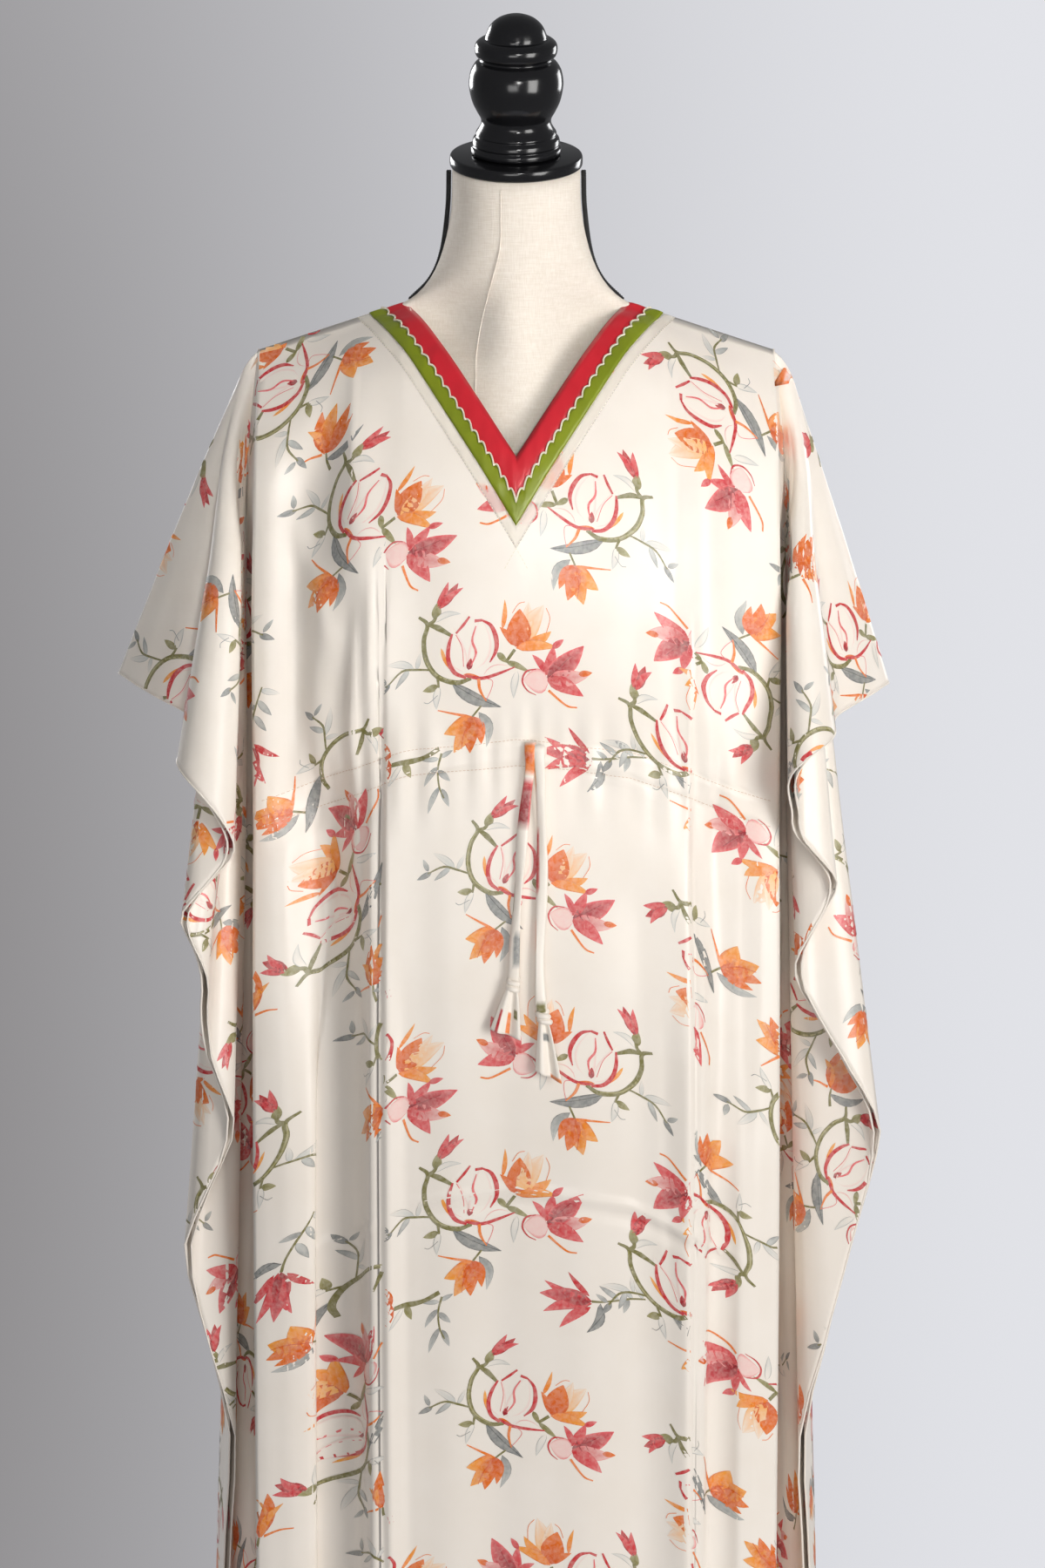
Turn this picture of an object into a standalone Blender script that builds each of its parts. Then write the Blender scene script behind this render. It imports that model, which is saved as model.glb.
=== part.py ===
import math

import bmesh
import bpy
import numpy as np
from mathutils import Matrix, Vector
from mathutils.bvhtree import BVHTree

COLLECTION = "kaftan_on_dress_form"

# sizes of the cut, metres
HALF_WIDTH = 0.50
LENGTH = 1.32
NECK_HALF = 0.092
NECK_DEPTH = 0.160
BACK_NECK_DEPTH = 0.055
BACK_NECK_RISE = 0.020
TIP_S = 0.215
SIDE_SEAM_S = 0.290
ARMHOLE = 0.40
FAN_START = 0.035

# cloth walls and gaps
WALL = 0.0012
GAP = 0.0003
SEAM_SHIFT = 0.0002
FLAP_GAP = 0.0006
BACK_ROOM = 0.0030
SLEEVE_ROOM = 0.0030
FOLD_ROOM = 0.0014
FORM_CLEAR = 0.0022
BAND_WALL = 0.0010
PIPING_WALL = 0.0014
BAND_LIFT = WALL / 2.0 + 4.0 * GAP

# place of the shoulder tip of the cloth
TIP_X = 0.204
TIP_Z = 1.4535
NECK_X = 0.0885
NECK_Z = 1.4915
FAN_X = 0.221
FAN_Z = 1.427

# rows down the cloth, as shares of each column
ROW_SHARES = (
    0.0, 0.009, 0.024, 0.048, 0.085, 0.135, 0.20, 0.285, 0.385, 0.50, 0.65, 0.82, 1.0,
)
CENTRE_COLUMNS = (0.0, 0.020, 0.042, 0.062, 0.079, 0.0919, 0.110, 0.130, 0.155, 0.185, 0.215)

# body sections: drop below the shoulder, front and back depth at centre and at the
# column of the shoulder tip, and that column's distance from the centre
BODY_DROP = (0.0, 0.03, 0.06, 0.10, 0.15, 0.20, 0.25, 0.31, 0.375, 0.45, 0.55, 0.65, 0.80, 1.00, 1.40)
FRONT_TIP = (0.0, .022, .038, .052, .062, .069, .074, .079, .083, .090, .097, .101, .102, .102, .102)
FRONT_MID = (0.0, .032, .056, .077, .098, .112, .120, .119, .113, .122, .132, .136, .135, .132, .129)
BACK_TIP = (0.0, .020, .036, .048, .056, .061, .064, .066, .066, .068, .070, .070, .068, .066, .064)
BACK_MID = (0.0, .034, .060, .084, .103, .110, .110, .103, .094, .106, .124, .131, .130, .126, .122)
TIP_COLUMN = (.204, .205, .206, .207, .208, .209, .209, .209, .209, .210, .211, .212, .213, .214, .216)
SEAM_OUT = (.204, .209, .212, .214, .215, .215, .215, .215, .215, .216, .217, .218, .220, .221, .223)
SEAM_FRONT = (0.0, .002, .003, .005, .007, .008, .009, .009, .009, .010, .012, .013, .014, .015, .016)

# soft ridges of the front: column, width, height, drop where each starts and is full
FRONT_RIDGES = (
    (-0.118, 0.020, 0.011, 0.36, 0.60),
    (-0.172, 0.018, 0.010, 0.42, 0.70),
    (0.150, 0.020, 0.012, 0.40, 0.62),
    (0.186, 0.014, 0.009, 0.50, 0.75),
)

# folds of each side flap seen from above: outward and forward share of the radius
LEFT_FOLDS = (
    (.000, .000), (.036, -.008), (.044, -.044), (.058, -.058), (.068, -.038), (.056, -.004),
    (.034, .024), (.020, .046), (.016, .062), (.030, .074), (.055, .076), (.068, .092), (.050, .107),
    (.028, .112), (.020, .127), (.032, .141), (.052, .150), (.062, .180), (.062, .208),
    (.075, .226), (.098, .232), (.106, .248), (.090, .262), (.058, .266), (.032, .273),
    (.024, .294), (.036, .318), (.065, .338), (.100, .343), (.135, .328), (.156, .296),
    (.154, .258), (.136, .220), (.106, .196), (.090, .166), (.098, .132), (.130, .114),
    (.170, .108), (.250, .090), (.330, .050), (.405, .000),
)
RIGHT_FOLDS = (
    (.000, .000), (.036, -.008), (.042, -.042), (.056, -.054), (.066, -.036), (.054, -.002),
    (.034, .026), (.020, .048),
    (.018, .066), (.040, .080), (.075, .084), (.110, .092), (.118, .112), (.090, .127),
    (.045, .131), (.022, .143), (.022, .164), (.048, .178), (.080, .188), (.088, .210),
    (.064, .228), (.030, .238), (.016, .258), (.014, .284), (.006, .312), (.002, .340),
    (.010, .366), (.034, .382), (.070, .374), (.102, .345), (.116, .305), (.118, .262),
    (.122, .222), (.134, .184), (.158, .152), (.200, .112), (.258, .060), (.316, .000),
)
FOLD_END_ANGLE = 87.0

# dress form: height, half width, front and back depth at the centre, shoulder depth
TORSO = (
    (0.716, .140, .085, .095, 1.0), (0.724, .158, .101, .112, 1.0), (0.745, .165, .107, .119, 1.0),
    (0.80, .169, .110, .122, 1.0), (0.88, .169, .108, .119, 1.0), (0.96, .157, .098, .100, 1.0),
    (1.03, .138, .086, .083, 1.0), (1.08, .128, .080, .075, 1.0), (1.14, .134, .086, .081, 1.0),
    (1.20, .146, .101, .091, 1.0), (1.25, .155, .110, .099, 1.0), (1.30, .161, .103, .102, 1.0),
    (1.35, .172, .085, .099, 1.0), (1.39, .186, .070, .086, 0.82), (1.42, .194, .061, .072, 0.62),
    (1.440, .1985, .056, .062, 0.50), (1.4512, .193, .054, .056, 0.30), (1.4594, .175, .053, .054, 0.19),
    (1.4724, .140, .052, .052, 0.13), (1.4828, .106, .050, .050, 0.06), (1.4898, .084, .048, .048, 0.18),
    (1.508, .066, .049, .048, 0.9), (1.53, .0565, .0535, .0525, 1.0), (1.565, .0515, .053, .052, 1.0),
    (1.598, .0505, .0525, .052, 1.0),
)
NECK_ROOT = 0.042
TORSO_SIDES = 32
NECK_TILT = math.radians(14.0)
TILT_FROM = 1.50

DISC_RADIUS = 0.0525
DISC_HEIGHT = 0.0095
CORD_RADIUS = 0.0021

POLE_RADIUS = 0.0150
BASE_RADIUS = 0.190

RED_WIDTH = 0.0155
GREEN_WIDTH = 0.0115
SCALLOPS = 19
SCALLOP_DEPTH = 0.0022
PIPING = 0.0020
BAND_STEPS = 30
PIPING_STEPS = 48

CASING_T = 0.374
CASING_WIDTH = 0.020
CASING_HALF = 0.195

# drawstring ends: place across, place down, rise off the cloth
TIE_WIDTH = 0.0075
TIE_SHORT = (
    (0.010, 0.384, 0.001), (0.009, 0.400, 0.003), (0.007, 0.430, 0.001), (0.004, 0.470, 0.000),
    (0.001, 0.510, 0.000), (-0.001, 0.545, 0.001), (-0.002, 0.575, 0.002),
)
TIE_LONG = (
    (0.019, 0.385, 0.001), (0.020, 0.402, 0.003), (0.020, 0.440, 0.001), (0.021, 0.480, 0.000),
    (0.020, 0.520, 0.000), (0.019, 0.560, 0.001), (0.020, 0.590, 0.001), (0.022, 0.599, 0.001),
)


def scene_cleared():
    for item in list(bpy.data.objects):
        bpy.data.objects.remove(item)
    made = bpy.data.collections.new(COLLECTION)
    bpy.context.scene.collection.children.link(made)
    return made


PART = scene_cleared()


def plain_material(name, colour, roughness, metallic=0.0):
    made = bpy.data.materials.new(name)
    made.use_nodes = True
    shader = made.node_tree.nodes["Principled BSDF"]
    shader.inputs["Base Color"].default_value = (*colour, 1.0)
    shader.inputs["Roughness"].default_value = roughness
    shader.inputs["Metallic"].default_value = metallic
    made.diffuse_color = (*colour, 1.0)
    return made


COLOURS = {
    "satin": ((0.82, 0.75, 0.66), 0.35),
    "red": ((0.62, 0.03, 0.05), 0.35),
    "green": ((0.22, 0.27, 0.02), 0.40),
    "cream": ((0.80, 0.74, 0.60), 0.70),
    "linen": ((0.74, 0.66, 0.56), 0.85),
    "black": ((0.012, 0.012, 0.013), 0.16),
    "braid": ((0.012, 0.012, 0.014), 0.75),
}


def add_mesh(name, points, faces, look, smooth=False):
    mesh = bpy.data.meshes.new(name)
    mesh.from_pydata([tuple(p) for p in points], [], faces)
    shape = bmesh.new()
    shape.from_mesh(mesh)
    bmesh.ops.recalc_face_normals(shape, faces=shape.faces)
    shape.to_mesh(mesh)
    shape.free()
    for face in mesh.polygons:
        face.use_smooth = smooth
    made = bpy.data.objects.new(name, mesh)
    colour, rough = COLOURS[look]
    mesh.materials.append(plain_material("mat_" + name, colour, rough))
    PART.objects.link(made)
    return made


def table(drop, values):
    return float(np.interp(drop, BODY_DROP, values))


def ease(value):
    value = min(1.0, max(0.0, value))
    return value * value * (3.0 - 2.0 * value)


def fold_curve(points):
    """Angles and places of a fold table, angle falling from the seam to the edge."""
    places = np.array(points)
    steps = np.linalg.norm(np.diff(places, axis=0), axis=1)
    along = np.concatenate([[0.0], np.cumsum(steps)])
    angles = FOLD_END_ANGLE * (1.0 - along / along[-1])
    return angles, places


FOLDS = {-1: fold_curve(LEFT_FOLDS), 1: fold_curve(RIGHT_FOLDS)}
LOOP_POINT = 7
LOOP_NARROWS = 0.65
FIRST_LOOP = {side: float(FOLDS[side][0][LOOP_POINT]) for side in (-1, 1)}


def fold_place(side, angle):
    angles, places = FOLDS[side]
    x = np.interp(angle, angles[::-1], places[::-1, 0])
    y = np.interp(angle, angles[::-1], places[::-1, 1])
    return np.array([x, y])


def start_s(angle):
    return TIP_S + FAN_START * (1.0 - angle / 90.0)


def seam_angle(radius):
    """Angle at which a ring of this radius meets the side seam."""
    reach = max(radius, ARMHOLE)
    return math.degrees(math.acos((SIDE_SEAM_S - start_s(82.0)) / reach))


def column_end(s0, angle):
    cos_a = math.cos(math.radians(angle))
    sin_a = math.sin(math.radians(angle))
    ends = []
    if cos_a > 1e-6:
        ends.append((HALF_WIDTH - s0) / cos_a)
    if sin_a > 1e-6:
        ends.append(LENGTH / sin_a)
    return min(ends)


def neck_start(s, layer):
    share = max(0.0, 1.0 - abs(s) / NECK_HALF)
    if layer > 0:
        return NECK_DEPTH * share ** 0.96
    return BACK_NECK_DEPTH * (1.0 - (1.0 - share) ** 2.2)


def seam_top(s):
    """Place on the shoulder line of a distance from the centre."""
    s = abs(s)
    if s <= TIP_S:
        share = (s - NECK_HALF) / (TIP_S - NECK_HALF)
        x = NECK_X + (TIP_X - NECK_X) * share
        z = NECK_Z + (TIP_Z - NECK_Z) * share
        if s < NECK_HALF:
            x = s * NECK_X / NECK_HALF
            z = NECK_Z + (s - NECK_HALF) * -0.10
        return x, z
    share = (s - TIP_S) / FAN_START
    bend = 0.35 * share * (1.0 - share)
    x = TIP_X + (FAN_X - TIP_X) * (share + bend)
    z = TIP_Z + (FAN_Z - TIP_Z) * (share - bend)
    return x, z


def ridge(s, drop):
    height = 0.0
    for column, width, peak, begin, full in FRONT_RIDGES:
        height += peak * math.exp(-((s - column) / width) ** 2) * ease((drop - begin) / (full - begin))
    return height


def body_place(side, s, drop, layer):
    """Outward and forward place of a body column, layer +1 front and -1 back."""
    tip, mid = (FRONT_TIP, FRONT_MID) if layer > 0 else (BACK_TIP, BACK_MID)
    share = s / TIP_S
    out = table(drop, TIP_COLUMN) * share
    bulge = 1.0 - share ** 2.4
    depth = table(drop, tip) + (table(drop, mid) - table(drop, tip)) * bulge
    depth = max(depth, SEAM_SHIFT)
    if layer > 0:
        depth += ridge(side * s, drop)
    return np.array([out, depth * layer])


def wall_place(side, share, drop, layer):
    """Side of the body between the column of the tip and the side seam."""
    start = body_place(side, TIP_S, drop, layer)
    seam = np.array([table(drop, SEAM_OUT), table(drop, SEAM_FRONT)])
    bow = 0.012 * ease((drop - 0.10) / 0.15) * math.sin(math.pi * share)
    place = start + (seam - start) * share
    place[0] -= bow
    return place


def fold_share(side, angle, drop):
    """Folds open out of a smooth shoulder: a plain arc near the tip, the table below it."""
    seam = seam_angle(drop)
    loop = FIRST_LOOP[side]
    if angle > loop:
        along = (angle - loop) / (seam - loop)
        begin = fold_place(side, loop)
        chord = begin * (1.0 - along)
        turned = fold_place(side, loop + along * (FOLD_END_ANGLE - loop))
        size = (seam - loop) / (FOLD_END_ANGLE - loop)
        size *= 1.0 - LOOP_NARROWS * ease((drop - 0.45) / 0.45)
        folded = chord + (turned - chord) * size
    else:
        folded = fold_place(side, angle)
    share = 1.0 - min(angle, seam) / seam
    reach = FOLDS[side][1][-1][0]
    plain = np.array([reach * share, 0.16 * math.sin(math.pi * share)])
    open_share = ease((drop - 0.04) / 0.13)
    return plain + (folded - plain) * open_share


def ring_place(side, angle, drop, layer):
    """Outward and forward place of a flap or wall point at a drop below the tip."""
    seam = seam_angle(drop)
    if angle >= seam:
        return wall_place(side, (90.0 - angle) / (90.0 - seam), drop, layer)
    base = np.array([table(drop, SEAM_OUT), table(drop, SEAM_FRONT)])
    place = base + drop * fold_share(side, angle, drop)
    ahead = place[1] - table(drop, FRONT_TIP) - 0.004
    limit = base[0] + 0.005 * ease(drop / 0.15) - 0.05 * ease(ahead / 0.010)
    if angle < FIRST_LOOP[side]:
        place[0] = max(place[0], limit)
    return place


def fan_point(side, s0, angle, radius, layer):
    """Point of a ray that hangs from the shoulder tip."""
    reach = radius + (s0 - TIP_S) * math.cos(math.radians(angle))
    drop = max(reach, 1e-5)
    place = np.array([TIP_X, 0.0])
    for _ in range(4):
        place = ring_place(side, angle, drop, layer)
        away = np.linalg.norm(place - np.array([TIP_X, 0.0]))
        drop = max(math.sqrt(max(reach ** 2 - away ** 2, (0.5 * reach) ** 2)), 1e-5)
    top_x, top_z = seam_top(s0)
    near = ease(radius / (0.012 + 0.088 * (1.0 - angle / 90.0)))
    out = top_x + (place[0] - top_x) * near
    fore = place[1] * near
    up = top_z + (TIP_Z - drop - top_z) * near
    return np.array([out, fore, up])


def tip_column(side, layer):
    """Radii and points of the column that hangs from the shoulder tip."""
    radii = np.linspace(0.0, LENGTH, 140)
    points = [fan_point(side, TIP_S, 90.0, radius, layer) for radius in radii]
    return radii, np.array(points)


TIP_COLUMNS = {(side, layer): tip_column(side, layer) for side in (-1, 1) for layer in (-1, 1)}


def body_column(side, s0, radii, layer):
    """Points down a body column; the drop follows from the length of the cloth."""
    tip_radii, tip_points = TIP_COLUMNS[(side, layer)]
    fine = np.linspace(0.0, LENGTH, 140)
    drops = TIP_Z - np.interp(fine, tip_radii, tip_points[:, 2])
    places = np.array([body_place(side, s0, drop, layer) for drop in drops])
    step = fine[1] - fine[0]

    def heights(track):
        moves = np.linalg.norm(np.diff(track, axis=0), axis=1)
        falls = np.sqrt(np.maximum(step ** 2 - moves ** 2, (0.35 * step) ** 2))
        return -np.concatenate([[0.0], np.cumsum(falls)])

    edge = np.array([body_place(side, TIP_S, drop, layer) for drop in drops])
    shift = tip_points[:, 2] - TIP_Z - heights(edge)
    _, top_z = seam_top(s0)
    if layer < 0:
        top_z += BACK_NECK_RISE * max(0.0, 1.0 - s0 / NECK_HALF)
    up = top_z + heights(places) + shift * (s0 / TIP_S) ** 2
    up = np.interp(radii, fine, up)
    out = np.interp(radii, fine, places[:, 0])
    fore = np.interp(radii, fine, places[:, 1])
    return np.stack([side * out, -fore, up], axis=1)


def column_points(side, s0, angle, radii, layer):
    if angle >= 90.0:
        return body_column(side, s0, radii, layer)
    points = np.array([fan_point(side, s0, angle, radius, layer) for radius in radii])
    return np.stack([side * points[:, 0], -points[:, 1], points[:, 2]], axis=1)


def flap_columns(side):
    angles = [float(a) for a in FOLDS[side][0]]
    corner = math.degrees(math.atan2(LENGTH, HALF_WIDTH - start_s(78.0)))
    angles = [a for a in angles if abs(a - corner) > 0.8]
    angles += [corner, 88.4]
    return sorted(angles)


def panel_grid(layer):
    """Grid of points of one panel, columns from the left edge to the right edge."""
    columns = [(-1, start_s(a), a) for a in flap_columns(-1)]
    columns += [(-1, s, 90.0) for s in reversed(CENTRE_COLUMNS[1:])]
    columns += [(1, s, 90.0) for s in CENTRE_COLUMNS]
    columns += [(1, start_s(a), a) for a in reversed(flap_columns(1))]
    grid = []
    spread = []
    for side, s0, angle in columns:
        first = neck_start(s0, layer) if angle >= 90.0 else 0.0
        end = column_end(s0, angle)
        radii = first + np.array(ROW_SHARES) * (end - first)
        grid.append(column_points(side, s0, angle, radii, layer))
        spread.append([layer_gap(angle, radius, layer) for radius in radii])
    return np.array(grid), np.array(spread)


def layer_gap(angle, radius, layer):
    """Half the distance between the front and back cloth of a flap."""
    if angle >= 90.0:
        return 0.0
    seam = seam_angle(radius)
    closed = WALL / 2.0 + FLAP_GAP
    if layer < 0:
        near = math.exp(-((angle - seam) / 6.0) ** 2)
        closed += BACK_ROOM * near * ease(radius / 0.03) * ease((0.24 - radius) / 0.08)
    if angle >= seam:
        share = (90.0 - angle) / (90.0 - seam)
        return closed * max(share, 1.0 - radius / 0.03)
    loose = SLEEVE_ROOM * ease(angle / 8.0) * ease((20.0 - angle) / 9.0)
    folded = FOLD_ROOM * ease(radius / 0.25)
    return closed + loose * ease((radius - 0.05) / 0.12) + folded


def grid_normals(grid):
    across = np.gradient(grid, axis=0)
    down = np.gradient(grid, axis=1)
    normal = np.cross(down, across)
    length = np.linalg.norm(normal, axis=2, keepdims=True)
    return normal / np.maximum(length, 1e-12)


def settle_seam_normals(normal, layer):
    """Along the shoulder seam the two panels meet edge to edge, then face to face."""
    left = flap_columns(-1)
    right = flap_columns(1)[::-1]
    centre = normal.shape[0] - len(left) - len(right)
    turned = [ease((90.0 - a) / 10.0) for a in left]
    turned += [0.0] * centre
    turned += [ease((90.0 - a) / 10.0) for a in right]
    facing = np.array([0.0, -1.0 * layer, 0.0])
    for vector, share in zip(normal[:, 0, :], turned):
        up = np.array([vector[0], 0.0, vector[2]])
        up /= np.linalg.norm(up)
        vector[:] = up * (1.0 - share) + facing * share
        vector /= np.linalg.norm(vector)


def loft(name, rings, look):
    """Closed body through rings of equal count, flat at both ends."""
    count = len(rings[0])
    points = [tuple(p) for ring in rings for p in ring]
    faces = []
    for k in range(len(rings) - 1):
        for i in range(count):
            j = (i + 1) % count
            faces.append((k * count + i, k * count + j, (k + 1) * count + j, (k + 1) * count + i))
    faces.append(tuple(reversed(range(count))))
    faces.append(tuple(range((len(rings) - 1) * count, len(rings) * count)))
    return add_mesh(name, points, faces, look, smooth=True)


def torso_ring(height, half, front, back, flat):
    """Ring of the form; flat is the depth at the shoulder as a share of the centre."""
    power = 2.0 if height > 1.36 else 2.25
    tilt = math.tan(NECK_TILT * ease((height - TILT_FROM) / 0.07))
    ring = []
    for i in range(TORSO_SIDES):
        turn = 2.0 * math.pi * i / TORSO_SIDES
        c, d = math.cos(turn), math.sin(turn)
        x = half * math.copysign(abs(c) ** (2.0 / power), c)
        deep = back if d > 0 else front
        wide = deep * flat * abs(d) ** (2.0 / power)
        root = deep * (1.0 - flat) * math.exp(-(x / NECK_ROOT) ** 2) * min(1.0, abs(d) * 3.0)
        y = math.copysign(wide + root, d)
        ring.append((x, y, height + y * tilt))
    return ring


FORM = loft("dress_form", [torso_ring(*row) for row in TORSO], "linen")


def clear_of_form(grid, spread):
    """Moves cloth that would touch the form outward, except along the shoulder seam."""
    mesh = FORM.data
    places = [v.co.copy() for v in mesh.vertices]
    tree = BVHTree.FromPolygons(places, [tuple(f.vertices) for f in mesh.polygons])
    need = WALL / 2.0 + FORM_CLEAR
    for i in range(grid.shape[0]):
        for j in range(grid.shape[1]):
            point = Vector(grid[i, j])
            seam = j == 0 and abs(point.x) > NECK_X - 0.002
            if spread[i, j] > 0.0 or seam or point.z < 0.70:
                continue
            spot, normal, _, away = tree.find_nearest(point)
            signed = away if (point - spot).dot(normal) > 0.0 else -away
            if signed < need:
                grid[i, j] = point + normal * (need - signed)


def sheet_solid(name, outer, inner, look):
    columns, rows = outer.shape[0], outer.shape[1]
    points = np.concatenate([outer.reshape(-1, 3), inner.reshape(-1, 3)])
    half = columns * rows
    faces = []

    def index(i, j):
        return i * rows + j

    for i in range(columns - 1):
        for j in range(rows - 1):
            quad = (index(i, j), index(i + 1, j), index(i + 1, j + 1), index(i, j + 1))
            faces.append((quad[0], quad[1], quad[2]))
            faces.append((quad[0], quad[2], quad[3]))
            faces.append((quad[2] + half, quad[1] + half, quad[0] + half))
            faces.append((quad[3] + half, quad[2] + half, quad[0] + half))
    rim = [index(i, 0) for i in range(columns)]
    rim += [index(columns - 1, j) for j in range(1, rows)]
    rim += [index(i, rows - 1) for i in range(columns - 2, -1, -1)]
    rim += [index(0, j) for j in range(rows - 2, 0, -1)]
    for here, there in zip(rim, rim[1:] + rim[:1]):
        faces.append((here, there, there + half, here + half))
    return add_mesh(name, points, faces, look, smooth=True)


def make_panel(name, layer):
    grid, spread = panel_grid(layer)
    clear_of_form(grid, spread)
    normal = grid_normals(grid) * layer
    settle_seam_normals(normal, layer)
    face = grid + normal * spread[:, :, None]
    fan = [k for k in range(len(grid)) if spread[k, 0] > 0.0]
    face[fan, :, 1] -= layer * SEAM_SHIFT
    outer = face + normal * (WALL / 2.0)
    inner = face - normal * (WALL / 2.0)
    sheet_solid(name, outer, inner, "satin")
    return face, normal


FRONT_FACE, FRONT_NORMAL = make_panel("front_panel", 1)
make_panel("back_panel", -1)

FIRST_CENTRE = len(flap_columns(-1))
CENTRE_S = [-s for s in reversed(CENTRE_COLUMNS[1:])] + list(CENTRE_COLUMNS)


def on_front(s, t, lift):
    """Point at a place on the flat front, raised off the cloth by lift."""
    k = int(np.searchsorted(CENTRE_S, s, side="right")) - 1
    k = min(max(k, 0), len(CENTRE_S) - 2)
    a = (s - CENTRE_S[k]) / (CENTRE_S[k + 1] - CENTRE_S[k])
    tops = [neck_start(CENTRE_S[k], 1), neck_start(CENTRE_S[k + 1], 1)]
    first = np.array([top + np.array(ROW_SHARES) * (LENGTH - top) for top in tops])
    rows = first[0] * (1 - a) + first[1] * a
    j = int(np.searchsorted(rows, t, side="right")) - 1
    j = min(max(j, 0), len(rows) - 2)
    b = (t - rows[j]) / (rows[j + 1] - rows[j])
    i = FIRST_CENTRE + k

    def mix(grid):
        near, far = grid[i, j], grid[i + 1, j + 1]
        if a >= b:
            return near + (grid[i + 1, j] - near) * a + (far - grid[i + 1, j]) * b
        return near + (grid[i, j + 1] - near) * b + (far - grid[i, j + 1]) * a

    return mix(FRONT_FACE) + mix(FRONT_NORMAL) * lift


def neck_point(side, along):
    """Flat place on the neck edge, from the shoulder at 0 to the point of the V at 1."""
    s = NECK_HALF * (1.0 - along)
    return side * s, neck_start(s, 1)


def neck_offset(side, along, width):
    """Flat place outside the neck edge by width, kept to its own half."""
    before = np.array(neck_point(side, max(0.0, along - 0.01)))
    after = np.array(neck_point(side, min(1.0, along + 0.01)))
    way = (after - before) / np.linalg.norm(after - before)
    out = np.array([-way[1], way[0]]) * side * -1.0
    here = np.array(neck_point(side, along))
    return here + out * width


def mitred_line(side, width, count, wave):
    """Line at a distance from the neck edge, cut at the shoulder and at the centre."""
    slope = np.array(neck_point(1, 0.999)) - np.array(neck_point(1, 0.99))
    slope = slope / np.linalg.norm(slope)
    extra = width * abs(slope[1]) / abs(slope[0])
    run = math.hypot(NECK_HALF, NECK_DEPTH)
    line = []
    for share in np.linspace(0.0, 1.0, count):
        ahead = width * abs(slope[0]) / abs(slope[1])
        along = -ahead / run + share * (1.0 + ahead / run + extra / run)
        inside = min(max(along, 0.0), 1.0)
        bump = wave(share) if wave else 0.0
        place = neck_offset(side, inside, width + bump)
        if along < 0.0:
            rise = np.array(neck_point(side, 0.0)) - np.array(neck_point(side, 0.01))
            place = place + rise / np.linalg.norm(rise) * (-along * run)
        if along > 1.0:
            fall = np.array(neck_point(side, 1.0)) - np.array(neck_point(side, 0.99))
            place = place + fall / np.linalg.norm(fall) * ((along - 1.0) * run)
        place[1] = max(place[1], 0.0004)
        if side * place[0] < 0.0:
            place[0] = 0.0
        line.append(place)
    return line


def scallop(share):
    return SCALLOP_DEPTH * abs(math.sin(math.pi * SCALLOPS * share))


def neck_band(name, near, far, wall, look, steps, rows, wave=None):
    """Strip laid on the front round the V, from one shoulder to the other."""
    lift = BAND_LIFT
    grid_low = []
    grid_high = []
    for side in (-1, 1):
        inner = mitred_line(side, near, steps, wave)
        outer = mitred_line(side, far, steps, wave)
        order = range(steps) if side < 0 else range(steps - 2, -1, -1)
        for k in order:
            places = [inner[k] + (outer[k] - inner[k]) * share for share in np.linspace(0, 1, rows + 1)]
            grid_low.append([on_front(p[0], p[1], lift) for p in places])
            grid_high.append([on_front(p[0], p[1], lift + wall) for p in places])
    return sheet_solid(name, np.array(grid_high), np.array(grid_low), look)


neck_band("red_neck_band", 0.0, RED_WIDTH, BAND_WALL, "red", BAND_STEPS, 3)
neck_band("green_scalloped_band", RED_WIDTH + GAP + SCALLOP_DEPTH + PIPING, RED_WIDTH + GREEN_WIDTH,
          BAND_WALL, "green", BAND_STEPS, 2)
neck_band("cream_scalloped_piping", RED_WIDTH + GAP, RED_WIDTH + PIPING,
          PIPING_WALL, "cream", PIPING_STEPS, 1, scallop)


def turned(name, profile, look, place, tilt, sides):
    """Body turned about its axis from a profile of radius and height."""
    rings = []
    for radius, height in profile:
        ring = []
        for i in range(sides):
            turn = 2.0 * math.pi * i / sides
            spot = Vector((radius * math.cos(turn), radius * math.sin(turn), height))
            ring.append(Matrix.Rotation(tilt, 4, "X") @ spot + Vector(place))
        rings.append(ring)
    return loft(name, rings, look)


NECK_TOP = TORSO[-1][0]
DISC_PLACE = (0.0, 0.0, NECK_TOP + GAP / math.cos(NECK_TILT))
DISC_PROFILE = (
    (0.0500, 0.0), (0.0520, 0.0010), (DISC_RADIUS, 0.0030), (DISC_RADIUS, 0.0065),
    (0.0518, 0.0087), (0.0500, DISC_HEIGHT),
)
turned("neck_cap_disc", DISC_PROFILE, "black", DISC_PLACE, NECK_TILT, 28)

FINIAL_PROFILE = (
    (0.0300, 0.0000), (0.0352, 0.0012), (0.0358, 0.0050), (0.0340, 0.0072), (0.0345, 0.0090),
    (0.0338, 0.0125), (0.0315, 0.0150), (0.0318, 0.0170), (0.0290, 0.0215), (0.0276, 0.0250),
    (0.0280, 0.0290), (0.0310, 0.0345), (0.0345, 0.0420), (0.0366, 0.0510), (0.0370, 0.0580),
    (0.0355, 0.0660), (0.0320, 0.0720), (0.0285, 0.0745), (0.0285, 0.0765), (0.0312, 0.0785),
    (0.0324, 0.0830), (0.0315, 0.0875), (0.0280, 0.0905), (0.0245, 0.0915), (0.0238, 0.0940),
    (0.0205, 0.1010), (0.0145, 0.1065), (0.0070, 0.1095), (0.0015, 0.1102),
)
FINIAL_LIFT = DISC_HEIGHT + GAP
FINIAL_PLACE = (
    0.0,
    -math.sin(NECK_TILT) * FINIAL_LIFT,
    DISC_PLACE[2] + math.cos(NECK_TILT) * FINIAL_LIFT,
)
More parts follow.
